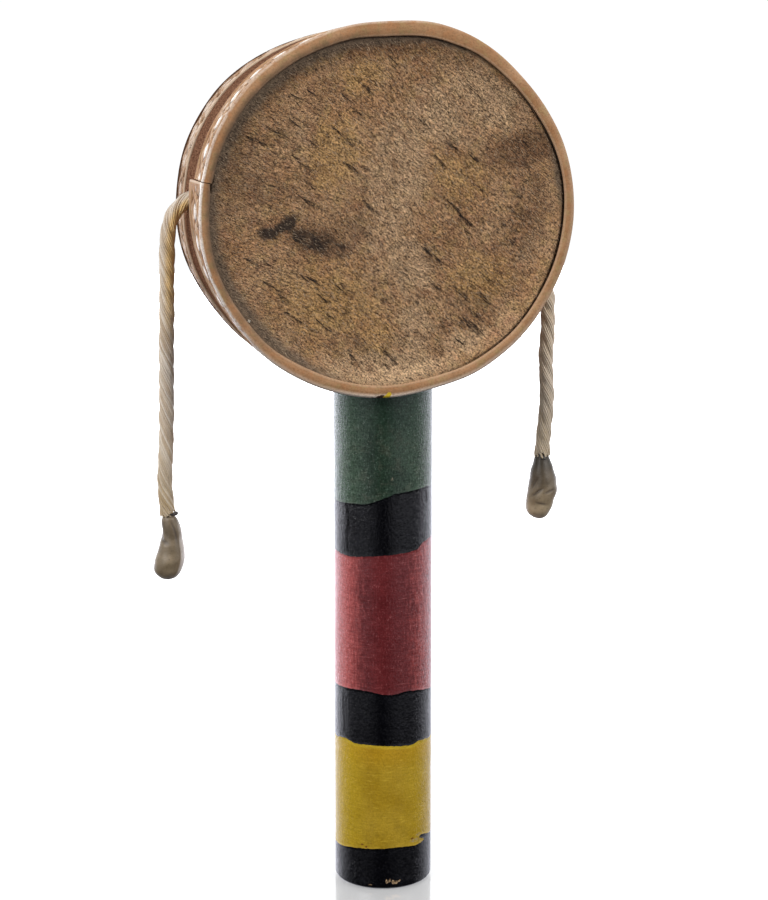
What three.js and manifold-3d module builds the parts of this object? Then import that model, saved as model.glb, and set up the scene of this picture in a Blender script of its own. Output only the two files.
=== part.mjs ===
// A hand-held pellet drum. A hollow wooden shell carries a hide head on each side. Each rim is bound with
// an embossed leather strip that folds over the head's edge. The drum stands on a painted round handle,
// and a twisted cord with a pellet on its end hangs out of a hole at each side of the shell.
// Millimetres. +Z is up, the front head faces -Y, and the origin is the middle of the handle's foot.
// Angles round the drum are clock angles as seen from the front: 0 is up and 90 degrees is right.
import * as THREE from "three";
import { mergeGeometries, mergeVertices } from "three/addons/utils/BufferGeometryUtils.js";
import Module from "manifold-3d";

const wasm = await Module();
wasm.setup();

const clearance = 0.3; // between pieces that touch
const degree = Math.PI / 180;
const fullTurn = 2 * Math.PI;

// The handle
const handleRadius = 12.5;
const footRounding = 1.2;
const handleSides = 40;

// The drum as a whole. Its outline is bent by hand, so it is a little oval and a little off the handle's axis.
const drumCentre = new THREE.Vector3(-3.3, 0, 174.4);
const drumRadius = 44.9; // over the plain borders of the leather strips
const drumDepth = 45; // over the two strips
const ovalAcross = 0.01;
const ovalSlanting = 0.01;

// The leather strips
const stripWidth = 14;
const stripThickness = 0.8;
const stripCorner = 0.9;
const lipHeight = 3.1; // how far the strip's folded lip covers the head
const lipThickness = 1.6;
const braidEyes = 38; // eyes of the embossed two-strand braid round each strip
const braidSpread = 3.4; // how far each strand swings to either side of the strip's middle
const braidStrand = 2.4; // half the width of a strand
const braidHeight = 0.45;
const columnsPerEye = 4;
const seamGap = 0.4; // between the two ends of a strip
const frontSeamAngle = 277 * degree;
const backSeamAngle = 97 * degree;
const endLift = 1.2; // the strip's last end stands off the shell at its inner border
const endLiftLength = 20;
const endLiftFrom = 1.4; // the lift begins this far back from the rim

// The hide heads
const headThickness = 0.9;
const headDish = 0.4;
const headRing = 0.6; // share of the radius where half the dish is reached
const headSides = 52;

// The wooden shell
const shellStep = 0.5; // the shell's middle lies this far below the strips' borders
const shellWall = 4.5;
const shellSides = 76;

// The cords, the holes they leave by, and the pellets
const cordRadius = 2;
const cordSides = 10;
const cordSteps = 18;
const holeRadius = cordRadius + clearance;
const holeReach = 14; // length of the bore that cuts each hole
const leftCordRoute = [
  [-44.2, 0, 178.1], [-46.2, 0, 177.4], [-48.2, 0, 176.6], [-50.0, 0, 175.5], [-51.6, 0, 173.9],
  [-52.8, 0, 171.6], [-53.5, 0, 168.6], [-53.85, 0, 164.5], [-54.0, 0, 158.0], [-54.2, 0, 150.0],
  [-54.45, 0, 140.0], [-54.6, 0, 130.0], [-54.85, 0, 118.0], [-55.0, 0, 107.0], [-54.9, 0, 99.0],
];
const rightCordRoute = [
  [35.4, 0, 161.9], [37.0, 0, 160.6], [38.6, 0, 159.1], [40.2, 0, 157.3], [41.5, 0, 155.2],
  [42.4, 0, 152.9], [42.9, 0, 150.2], [43.1, 0, 147.0], [43.1, 0, 143.0], [42.85, 0, 138.5],
  [42.75, 0, 134.0], [42.95, 0, 129.5], [43.1, 0, 125.0], [42.9, 0, 120.5], [42.45, 0, 116.0],
  [42.1, 0, 110.2],
];
const pelletSides = 14;
// Each pellet is moulded by hand. Its rows are [distance below its top, radius, distance to the right].
const leftPelletRows = [
  [0, 1.5, 0.2], [1.3, 2.05, 0.5], [3.9, 2.2, 1.0], [6.4, 2.65, 0.9], [9.0, 3.3, 0.9], [11.5, 3.85, 0.4],
  [14.0, 3.55, -0.1], [15.8, 2.1, -0.3], [16.6, 0, -0.2],
];
const rightPelletRows = [
  [0, 1.6, 0], [1.4, 2.2, 0.0], [4.0, 3.0, 0.1], [6.7, 3.5, 0.3], [9.3, 3.85, 0.2], [12.0, 3.6, -0.4],
  [14.6, 3.1, -0.8], [16.2, 1.8, -0.6], [16.9, 0, -0.4],
];

// Sizes that follow from the ones above
const halfDepth = drumDepth / 2;
const stripInside = drumRadius - stripThickness;
const headFace = halfDepth - lipThickness - clearance;
const shellHalfDepth = headFace - headThickness - clearance;
const shellSeat = stripInside - clearance;
const shellMiddle = drumRadius - shellStep;
const shellBore = shellSeat - shellWall;
const shellMiddleHalf = halfDepth - stripWidth - clearance;

function material(color, roughness) {
  return new THREE.MeshStandardMaterial({ color, roughness, metalness: 0 });
}

// Only the positions count in a solid, so the rest is dropped before shared vertices are joined.
function joined(geometry) {
  geometry.deleteAttribute("normal");
  geometry.deleteAttribute("uv");
  return mergeVertices(geometry, 1e-4);
}

function solid(geometry) {
  const shape = joined(geometry);
  return new wasm.Manifold(
    new wasm.Mesh({
      numProp: 3,
      vertProperties: new Float32Array(shape.getAttribute("position").array),
      triVerts: new Uint32Array(shape.index.array),
    }),
  );
}

function geometryOf(body) {
  const mesh = body.getMesh();
  const geometry = new THREE.BufferGeometry();
  geometry.setAttribute("position", new THREE.BufferAttribute(mesh.vertProperties, mesh.numProp));
  geometry.setIndex(new THREE.BufferAttribute(mesh.triVerts, 1));
  geometry.computeVertexNormals();
  return geometry;
}

function profile(points) {
  return points.map(([radius, depth]) => new THREE.Vector2(radius, depth));
}

function closedProfile(points) {
  return profile([...points, points[0]]);
}

// The share by which the drum's outline stands outside a true circle.
function outOfRound(angle) {
  return ovalSlanting * Math.sin(2 * angle) - ovalAcross * Math.cos(2 * angle);
}

// Moves a body that is turned about the Y axis out to the drum's outline, and to the drum's place.
function toOutline(geometry, relief = () => 0) {
  const place = geometry.getAttribute("position");
  for (let i = 0; i < place.count; i++) {
    const x = place.getX(i);
    const z = place.getZ(i);
    const radius = Math.hypot(x, z);
    const angle = Math.atan2(x, z);
    const lift = radius > 0 ? relief(angle, radius, place.getY(i)) / radius : 0;
    const scale = 1 + outOfRound(angle) + lift;
    place.setX(i, x * scale);
    place.setZ(i, z * scale);
  }
  return geometry.translate(drumCentre.x, drumCentre.y, drumCentre.z);
}

// The height of the embossed braid: two strands that swing across each other round the strip.
function braidRelief(along, across) {
  const swing = braidSpread * Math.sin((braidEyes * along) / 2);
  const ridge = (offset) => {
    const share = Math.min(1, Math.abs(offset) / braidStrand);
    return Math.cos((share * Math.PI) / 2) ** 2;
  };
  return braidHeight * Math.max(ridge(across - swing), ridge(across + swing));
}

// A strip's section, as [radius, distance back from the strip's outer edge].
function stripSection() {
  const lipRadius = drumRadius - lipHeight;
  const middle = stripWidth / 2;
  return [
    [stripInside, lipThickness],
    [lipRadius, lipThickness],
    [lipRadius, 0],
    [drumRadius - stripCorner, 0],
    [drumRadius, stripCorner],
    [drumRadius, middle - braidSpread],
    [drumRadius, middle],
    [drumRadius, middle + braidSpread],
    [drumRadius, stripWidth],
    [stripInside, stripWidth],
  ];
}

// One end of a strip: the section as a flat face at a clock angle, turned round where it is the far end.
function stripEnd(points, angle, farEnd) {
  const face = new THREE.ShapeGeometry(new THREE.Shape(points.slice(0, -1)));
  face.rotateY(angle - Math.PI / 2);
  if (farEnd) face.index.array.reverse();
  return face;
}

// A leather strip round one rim. Side is -1 at the front and 1 at the back.
function leatherStrip(side, seamAngle) {
  const section = stripSection().map(([radius, back]) => [radius, side * (halfDepth - back)]);
  if (side > 0) section.reverse();
  const points = closedProfile(section);
  const halfGap = seamGap / 2 / drumRadius;
  const start = seamAngle + halfGap;
  const sweep = fullTurn - 2 * halfGap;
  const geometry = joined(
    mergeGeometries([
      new THREE.LatheGeometry(points, braidEyes * columnsPerEye, start, sweep),
      stripEnd(points, start, false),
      stripEnd(points, start + sweep, true),
    ]),
  );
  return toOutline(geometry, (angle, radius, depth) => {
    const along = THREE.MathUtils.euclideanModulo(angle - seamAngle, fullTurn);
    const back = halfDepth - side * depth;
    const across = back - stripWidth / 2;
    const onBraid = radius > drumRadius - 1e-3 && Math.abs(across) < braidSpread + 1e-3;
    const nearEnd = Math.max(0, 1 - ((fullTurn - along) * drumRadius) / endLiftLength);
    const lift = (endLift * nearEnd ** 2 * Math.max(0, back - endLiftFrom)) / (stripWidth - endLiftFrom);
    return lift + (onBraid ? braidRelief(along, across) : 0);
  });
}

// A hide head, dished a little towards its middle.
function hideHead(side) {
  const rim = stripInside - clearance;
  const section = [
    [0, headFace - headDish],
    [rim * headRing, headFace - headDish / 2],
    [rim, headFace],
    [rim, headFace - headThickness],
    [rim * headRing, headFace - headThickness - headDish / 2],
    [0, headFace - headThickness - headDish],
  ].map(([radius, depth]) => [radius, side * depth]);
  if (side > 0) section.reverse();
  return toOutline(joined(new THREE.LatheGeometry(profile(section), headSides)));
}

// A round bore from the start of a cord's route, along its first stretch.
function cordHole(route) {
  const start = new THREE.Vector3(...route[0]);
  const way = new THREE.Vector3(...route[2]).sub(start).normalize();
  const hole = new THREE.CylinderGeometry(holeRadius, holeRadius, holeReach, cordSides + 2);
  hole.applyQuaternion(new THREE.Quaternion().setFromUnitVectors(new THREE.Vector3(0, 1, 0), way));
  return solid(hole.translate(start.x, start.y, start.z));
}

// The wooden shell: a hoop with a shallow seat for each strip and a hole for each cord.
function shellHoop() {
  const hoop = new THREE.LatheGeometry(
    closedProfile([
      [shellBore, -shellHalfDepth],
      [shellSeat, -shellHalfDepth],
      [shellSeat, -shellMiddleHalf],
      [shellMiddle, -shellMiddleHalf],
      [shellMiddle, shellMiddleHalf],
      [shellSeat, shellMiddleHalf],
      [shellSeat, shellHalfDepth],
      [shellBore, shellHalfDepth],
    ]),
    shellSides,
  );
  const body = solid(toOutline(joined(hoop)));
  return geometryOf(body.subtract(cordHole(leftCordRoute)).subtract(cordHole(rightCordRoute)));
}

// The space that the drum takes up, a clearance larger all round, which the handle's top is cut to.
function drumSpace() {
  const overStrips = drumRadius + braidHeight + clearance;
  const overShell = shellMiddle + clearance;
  const tongue = shellMiddleHalf - clearance;
  const space = new THREE.LatheGeometry(
    profile([
      [0, -halfDepth],
      [overStrips, -halfDepth],
      [overStrips, -tongue],
      [overShell, -tongue],
      [overShell, tongue],
      [overStrips, tongue],
      [overStrips, halfDepth],
      [0, halfDepth],
    ]),
    shellSides,
  );
  return solid(toOutline(joined(space)));
}

// The handle: a round stick with a flat foot, its top coped to the drum.
function handleStick() {
  const chamfer = footRounding * (1 - Math.SQRT1_2);
  const stick = new THREE.LatheGeometry(
    profile([
      [0, 0],
      [handleRadius - footRounding, 0],
      [handleRadius - chamfer, chamfer],
      [handleRadius, footRounding],
      [handleRadius, drumCentre.z],
      [0, drumCentre.z],
    ]),
    handleSides,
  );
  return geometryOf(solid(stick.rotateX(Math.PI / 2)).subtract(drumSpace()));
}

// A cord: a round section carried along its route.
function cord(route) {
  const corners = Array.from({ length: cordSides }, (_, i) => {
    const angle = (i / cordSides) * fullTurn;
    return new THREE.Vector2(cordRadius * Math.cos(angle), cordRadius * Math.sin(angle));
  });
  const path = new THREE.CatmullRomCurve3(route.map((point) => new THREE.Vector3(...point)));
  return new THREE.ExtrudeGeometry(new THREE.Shape(corners), {
    steps: cordSteps,
    extrudePath: path,
    bevelEnabled: false,
  });
}

// A pellet: a moulded drop that hangs under the end of its cord, each row of it round a middle of its own.
function pellet(rows, route) {
  const [endX, endY, endZ] = route[route.length - 1];
  const section = [[0, 0], ...rows.map(([drop, radius]) => [radius, -drop])].reverse();
  const drop = new THREE.LatheGeometry(profile(section), pelletSides).rotateX(Math.PI / 2);
  const place = drop.getAttribute("position");
  const sideways = (depth) => {
    const below = rows.findIndex((row) => row[0] >= depth - 1e-3);
    return rows[below][2];
  };
  for (let i = 0; i < place.count; i++) place.setX(i, place.getX(i) + sideways(-place.getZ(i)));
  return drop.translate(endX, endY, endZ - clearance);
}

const leather = material(0xa5784f, 0.6);
const hide = material(0x8c6c4e, 0.9);
const cotton = material(0xc8b9a0, 0.95);
const clay = material(0x7d6e5a, 0.9);

const pieces = {
  handle: [handleStick(), material(0x37463b, 0.4)],
  shell: [shellHoop(), material(0x5a3223, 0.6)],
  front_head: [hideHead(-1), hide],
  back_head: [hideHead(1), hide.clone()],
  front_strip: [leatherStrip(-1, frontSeamAngle), leather],
  back_strip: [leatherStrip(1, backSeamAngle), leather.clone()],
  left_cord: [cord(leftCordRoute), cotton],
  right_cord: [cord(rightCordRoute), cotton.clone()],
  left_pellet: [pellet(leftPelletRows, leftCordRoute), clay],
  right_pellet: [pellet(rightPelletRows, rightCordRoute), clay.clone()],
};

const drum = new THREE.Group();
for (const [name, [geometry, finish]] of Object.entries(pieces)) {
  const piece = new THREE.Mesh(geometry, finish);
  piece.name = name;
  drum.add(piece);
}

export default drum;
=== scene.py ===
import math
import bmesh
import bpy
import numpy as np
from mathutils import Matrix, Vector, noise


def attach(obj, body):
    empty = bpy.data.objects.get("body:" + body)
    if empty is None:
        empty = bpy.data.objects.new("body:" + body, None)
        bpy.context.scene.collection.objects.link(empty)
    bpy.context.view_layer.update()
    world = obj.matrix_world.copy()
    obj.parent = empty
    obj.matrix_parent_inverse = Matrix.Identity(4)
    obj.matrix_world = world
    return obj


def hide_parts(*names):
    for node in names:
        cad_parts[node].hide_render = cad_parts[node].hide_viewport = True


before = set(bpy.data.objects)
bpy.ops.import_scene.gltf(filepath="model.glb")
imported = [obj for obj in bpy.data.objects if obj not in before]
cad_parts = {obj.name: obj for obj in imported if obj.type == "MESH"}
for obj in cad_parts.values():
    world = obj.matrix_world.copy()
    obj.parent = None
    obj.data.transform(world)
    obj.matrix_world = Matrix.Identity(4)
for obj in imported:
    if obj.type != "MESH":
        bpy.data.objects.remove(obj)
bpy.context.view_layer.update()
mm = 0.001  # lengths below are millimetres unless they say otherwise
fullTurn = 2 * math.pi
print("frame loaded:", len(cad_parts), "nodes")

# The camera stands where the photograph was taken from, a little left of the front and a little above.
cameraView = {
    "place": (-0.11362, -0.50161, 0.20845),
    "aim": (0.0, 0.0, 0.112845),
    "lens": 82.596,
    "shiftX": 0.0011,
}


# Adds an object to the scene.
def addObject(name, data):
    made = bpy.data.objects.new(name, data)
    bpy.context.scene.collection.objects.link(made)
    return made


def makeCamera():
    data = bpy.data.cameras.new("camera")
    data.lens = cameraView["lens"]
    data.sensor_width = 36.0
    data.shift_x = cameraView["shiftX"]
    data.clip_start = 0.01
    data.clip_end = 20.0
    camera = addObject("camera", data)
    camera.location = cameraView["place"]
    sight = Vector(cameraView["aim"]) - Vector(cameraView["place"])
    camera.rotation_mode = "QUATERNION"
    camera.rotation_quaternion = sight.to_track_quat("-Z", "Y")
    bpy.context.scene.camera = camera


makeCamera()
print("camera placed")


# Node helpers. A socket or a plain value may go into any input, and a socket knows its tree.
def feed(node, sockets):
    for key, value in sockets.items():
        if isinstance(value, bpy.types.NodeSocket):
            value.id_data.links.new(value, node.inputs[key])
        else:
            node.inputs[key].default_value = value


def put(tree, kind, sockets=None, **settings):
    node = tree.nodes.new(kind)
    for name, value in settings.items():
        setattr(node, name, value)
    feed(node, sockets or {})
    return node


def treeOf(*values):
    return next(value.id_data for value in values if isinstance(value, bpy.types.NodeSocket))


def calc(operation, a, b=0.0, c=0.0, clamp=False):
    sockets = {0: a, 1: b, 2: c}
    node = put(treeOf(a, b, c), "ShaderNodeMath", sockets, operation=operation, use_clamp=clamp)
    return node.outputs[0]


# Sums are written with the sockets themselves: each sign adds the Math node that works it out.
def sumNode(operation, turned):
    def work(a, b):
        return calc(operation, b, a) if turned else calc(operation, a, b)

    return work


for operation, sign in (("ADD", "add"), ("SUBTRACT", "sub"), ("MULTIPLY", "mul"), ("DIVIDE", "truediv")):
    setattr(bpy.types.NodeSocket, "__" + sign + "__", sumNode(operation, False))
    setattr(bpy.types.NodeSocket, "__r" + sign + "__", sumNode(operation, True))


def vectorCalc(operation, a, b):
    return put(treeOf(a, b), "ShaderNodeVectorMath", {0: a, 1: b}, operation=operation).outputs[0]


def stretch(vector, amount):
    sockets = {0: vector, "Scale": amount}
    return put(treeOf(vector), "ShaderNodeVectorMath", sockets, operation="SCALE").outputs[0]


# A soft step from 0 at the first value to 1 at the second.
def softStep(value, start, end):
    sockets = {0: value, 1: start, 2: end, 3: 0.0, 4: 1.0}
    return put(treeOf(value), "ShaderNodeMapRange", sockets, interpolation_type="SMOOTHSTEP").outputs[0]


def mixColour(share, a, b, mode="MIX"):
    first, second = ((*value, 1.0) if isinstance(value, tuple) else value for value in (a, b))
    sockets = {0: share, 6: first, 7: second}
    node = put(treeOf(share, a, b), "ShaderNodeMix", sockets,
               data_type="RGBA", blend_type=mode, clamp_result=False)
    return node.outputs[2]


# The colour multiplied by a plain number.
def dimmed(colour, amount):
    grey = put(treeOf(amount), "ShaderNodeCombineXYZ", {0: amount, 1: amount, 2: amount}).outputs[0]
    return mixColour(1.0, colour, grey, "MULTIPLY")


def attribute(tree, name):
    return put(tree, "ShaderNodeAttribute", attribute_name=name).outputs["Fac"]


# Object coordinates in millimetres, turned and then stretched as the pattern needs.
def patternSpace(tree, scale=(1.0, 1.0, 1.0), turn=(0.0, 0.0, 0.0)):
    place = put(tree, "ShaderNodeTexCoord").outputs["Object"]
    sockets = {"Vector": place, "Scale": tuple(mm / s for s in scale), "Rotation": turn}
    return put(tree, "ShaderNodeMapping", sockets, vector_type="TEXTURE").outputs[0]


def grainNoise(space, size, detail=4.0, roughness=0.55):
    sockets = {"Vector": space, "Scale": 1.0 / size, "Detail": detail, "Roughness": roughness}
    return put(treeOf(space), "ShaderNodeTexNoise", sockets).outputs["Fac"]


def newMaterial(name):
    material = bpy.data.materials.new(name)
    material.use_nodes = True
    tree = material.node_tree
    return material, tree, tree.nodes["Principled BSDF"]


def bumped(shader, height, strength, distance):
    sockets = {"Height": height, "Strength": strength, "Distance": distance}
    feed(shader, {"Normal": put(treeOf(height), "ShaderNodeBump", sockets).outputs[0]})


# A Geometry Nodes tree with a geometry input and output and named inputs between them.
def shapeTree(name, inputs):
    tree = bpy.data.node_groups.new(name, "GeometryNodeTree")
    tree.is_modifier = True
    face = tree.interface
    face.new_socket("Geometry", in_out="INPUT", socket_type="NodeSocketGeometry")
    keys = {}
    for label, kind in inputs.items():
        keys[label] = face.new_socket(label, in_out="INPUT", socket_type="NodeSocket" + kind).identifier
    face.new_socket("Geometry", in_out="OUTPUT", socket_type="NodeSocketGeometry")
    return tree, put(tree, "NodeGroupInput").outputs, keys


def endTree(tree, geometry, material):
    real = put(tree, "GeometryNodeRealizeInstances", {"Geometry": geometry}).outputs[0]
    done = put(tree, "GeometryNodeSetMaterial", {"Geometry": real, "Material": material}).outputs[0]
    put(tree, "NodeGroupOutput", {"Geometry": done})


# Runs the tree on the object and returns its result as a plain mesh object of the given name.
def bakeTree(source, tree, keys, values, name):
    modifier = source.modifiers.new("shape", "NODES")
    modifier.node_group = tree
    for label, value in values.items():
        modifier[keys[label]] = value
    bpy.context.view_layer.update()
    graph = bpy.context.evaluated_depsgraph_get()
    ready = source.evaluated_get(graph)
    mesh = bpy.data.meshes.new_from_object(ready, preserve_all_data_layers=True, depsgraph=graph)
    source.modifiers.remove(modifier)
    bpy.data.objects.remove(source)
    mesh.name = name
    return addObject(name, mesh)


# Fields of a Geometry Nodes tree: a piece's own values, stored ones, and random ones.
def named(tree, label):
    return put(tree, "GeometryNodeInputNamedAttribute", {"Name": label}, data_type="FLOAT").outputs[0]


def stored(geometry, label, value, domain="POINT"):
    sockets = {"Geometry": geometry, "Name": label, "Value": value}
    return put(treeOf(geometry), "GeometryNodeStoreNamedAttribute", sockets,
               data_type="FLOAT", domain=domain).outputs[0]


def between(least, most, seed, index=None):
    sockets = {2: least, 3: most, "Seed": seed}
    if index is not None:
        sockets["ID"] = index
    return put(treeOf(seed), "FunctionNodeRandomValue", sockets, data_type="FLOAT").outputs[1]


# A mesh object from points in millimetres.
def meshObject(name, points, faces, attributes=None, sharp=40.0):
    mesh = bpy.data.meshes.new(name)
    mesh.from_pydata((np.asarray(points, float) * mm).tolist(), [], faces)
    for label, values in (attributes or {}).items():
        layer = mesh.attributes.new(label, "FLOAT", "POINT")
        layer.data.foreach_set("value", np.asarray(values, np.float32))
    mesh.shade_smooth()
    mesh.set_sharp_from_angle(angle=math.radians(sharp))
    return addObject(name, mesh)


def facesOut(piece):
    work = bmesh.new()
    work.from_mesh(piece.data)
    bmesh.ops.recalc_face_normals(work, faces=work.faces)
    work.to_mesh(piece.data)
    work.free()


# Quads between rows of points, each row with the same number of points.
def gridFaces(rows, columns, roundColumns=False, roundRows=False):
    faces = []
    for i in range(rows if roundRows else rows - 1):
        below = ((i + 1) % rows) * columns
        for j in range(columns if roundColumns else columns - 1):
            after = (j + 1) % columns
            faces.append((i * columns + j, i * columns + after, below + after, below + j))
    return faces


# Faces of rows that run round between a first point and a last one, which close both ends.
def closedRows(rows, columns):
    faces = [tuple(1 + i for i in quad) for quad in gridFaces(rows, columns, roundColumns=True)]
    last = 1 + (rows - 1) * columns
    for k in range(columns):
        after = (k + 1) % columns
        faces.append((0, 1 + after, 1 + k))
        faces.append((1 + rows * columns, last + k, last + after))
    return faces


# A smooth curve through a few points, sampled at the given places along them.
def smoothThrough(points, places):
    points = np.asarray(points, float)
    padded = np.vstack([2 * points[0] - points[1], points, 2 * points[-1] - points[-2]])
    start = np.clip(np.floor(places).astype(int), 0, len(points) - 2)
    t = (np.asarray(places) - start)[:, None]
    p0, p1, p2, p3 = (padded[start + k] for k in range(4))
    return 0.5 * (2 * p1 + (p2 - p0) * t + (2 * p0 - 5 * p1 + 4 * p2 - p3) * t**2
                  + (3 * p1 - p0 - 3 * p2 + p3) * t**3)


def limited(value):
    return min(1.0, max(0.0, value))


# How many degrees an angle lies past the given ones, from -180 to 180.
def degreesPast(angle, degrees):
    return (math.degrees(angle) - degrees + 180) % 360 - 180


def lumps(point, size, seed):
    return noise.noise(Vector(point) / size + Vector((seed, seed * 0.7, seed * 1.3)))


def finishPiece(piece, slot, *nodes):
    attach(piece, "root")
    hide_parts(*nodes)
    return piece


# The cords: soft cotton, four strands of fine yarns laid together, with loose fibres standing off.
cordShape = {
    "diameter": 4.0,
    "strands": 4,
    "strandOffset": 0.7,
    "strandPitch": -20.0,
    "yarns": 12,
    "yarnOffset": 1.0,
    "yarnPitch": -22.0,
    "yarnRadius": 0.27,
    "wander": 0.42,  # how far the yarns stray from an even lay
    "step": 0.6,
    "tuck": {"left": 0.7, "right": 1.2},  # how far the frayed end reaches over the pellet
    "fray": 2.2,
    "flare": 0.1,
    "fibresPerSquareMm": 0.45,
    "fibreLength": 1.1,
    "backlitSide": {"left": 1.0, "right": -0.25},  # the side that gets a painted golden glow of backlight through the cord where it leaves the drum
    "leastTone": {"left": 0.0, "right": 0.55},
    "soiled": {"left": 0.7, "right": 0.75},  # the frayed end
    "left": [
        (-44.2, 0, 178.1), (-46.2, 0, 177.4), (-48.2, 0, 176.6), (-50.0, 0, 175.5), (-51.6, 0, 173.9),
        (-52.8, 0, 171.6), (-53.5, 0, 168.6), (-53.85, 0, 164.5), (-54.0, 0, 158.0), (-54.2, 0, 150.0),
        (-54.45, 0, 140.0), (-54.6, 0, 130.0), (-54.9, 0, 118.0), (-55.45, 0, 107.0), (-54.9, 0, 99.0),
    ],
    "right": [
        (35.4, 0, 161.9), (37.0, 0, 160.6), (38.6, 0, 159.1), (40.2, 0, 157.3), (41.5, 0, 155.2),
        (42.4, 0, 152.9), (42.9, 0, 150.2), (43.1, 0, 147.0), (43.1, 0, 143.0), (42.85, 0, 138.5),
        (42.75, 0, 134.0), (42.95, 0, 129.5), (43.1, 0, 125.0), (42.9, 0, 120.5), (42.45, 0, 116.0),
        (42.1, 0, 110.2),
    ],
}


def cottonMaterial():
    material, tree, shader = newMaterial("cottonCord")
    space = patternSpace(tree)
    fine = grainNoise(space, 0.35, 3.0)
    broad = grainNoise(space, 6.0, 2.0)
    tone = attribute(tree, "yarnTone")
    base = mixColour(softStep(broad, 0.35, 0.65), (0.59, 0.445, 0.31), (0.67, 0.535, 0.395))
    pale = mixColour(softStep(tone, 0.05, 0.95), base, (0.85, 0.745, 0.625))
    # painted glow: a golden tint near the drum that stands in for backlight shining through the cotton
    backlitGlow = mixColour(attribute(tree, "backlitGlow") * 0.85, pale, (1.0, 0.68, 0.25))
    dull = mixColour(softStep(fine, 0.5, 0.25) * 0.5, backlitGlow, (0.34, 0.25, 0.15))
    soiled = attribute(tree, "soil") * softStep(fine, 0.25, 0.6)
    dull = mixColour(soiled * 0.75, dull, (0.42, 0.29, 0.1))
    feed(shader, {"Base Color": dull, "Roughness": 0.85, "Specular IOR Level": 0.2})
    feed(shader, {"Sheen Weight": 1.0, "Sheen Roughness": 0.45})
    bumped(shader, fine, 0.5, 0.0001)
    return material


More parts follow.
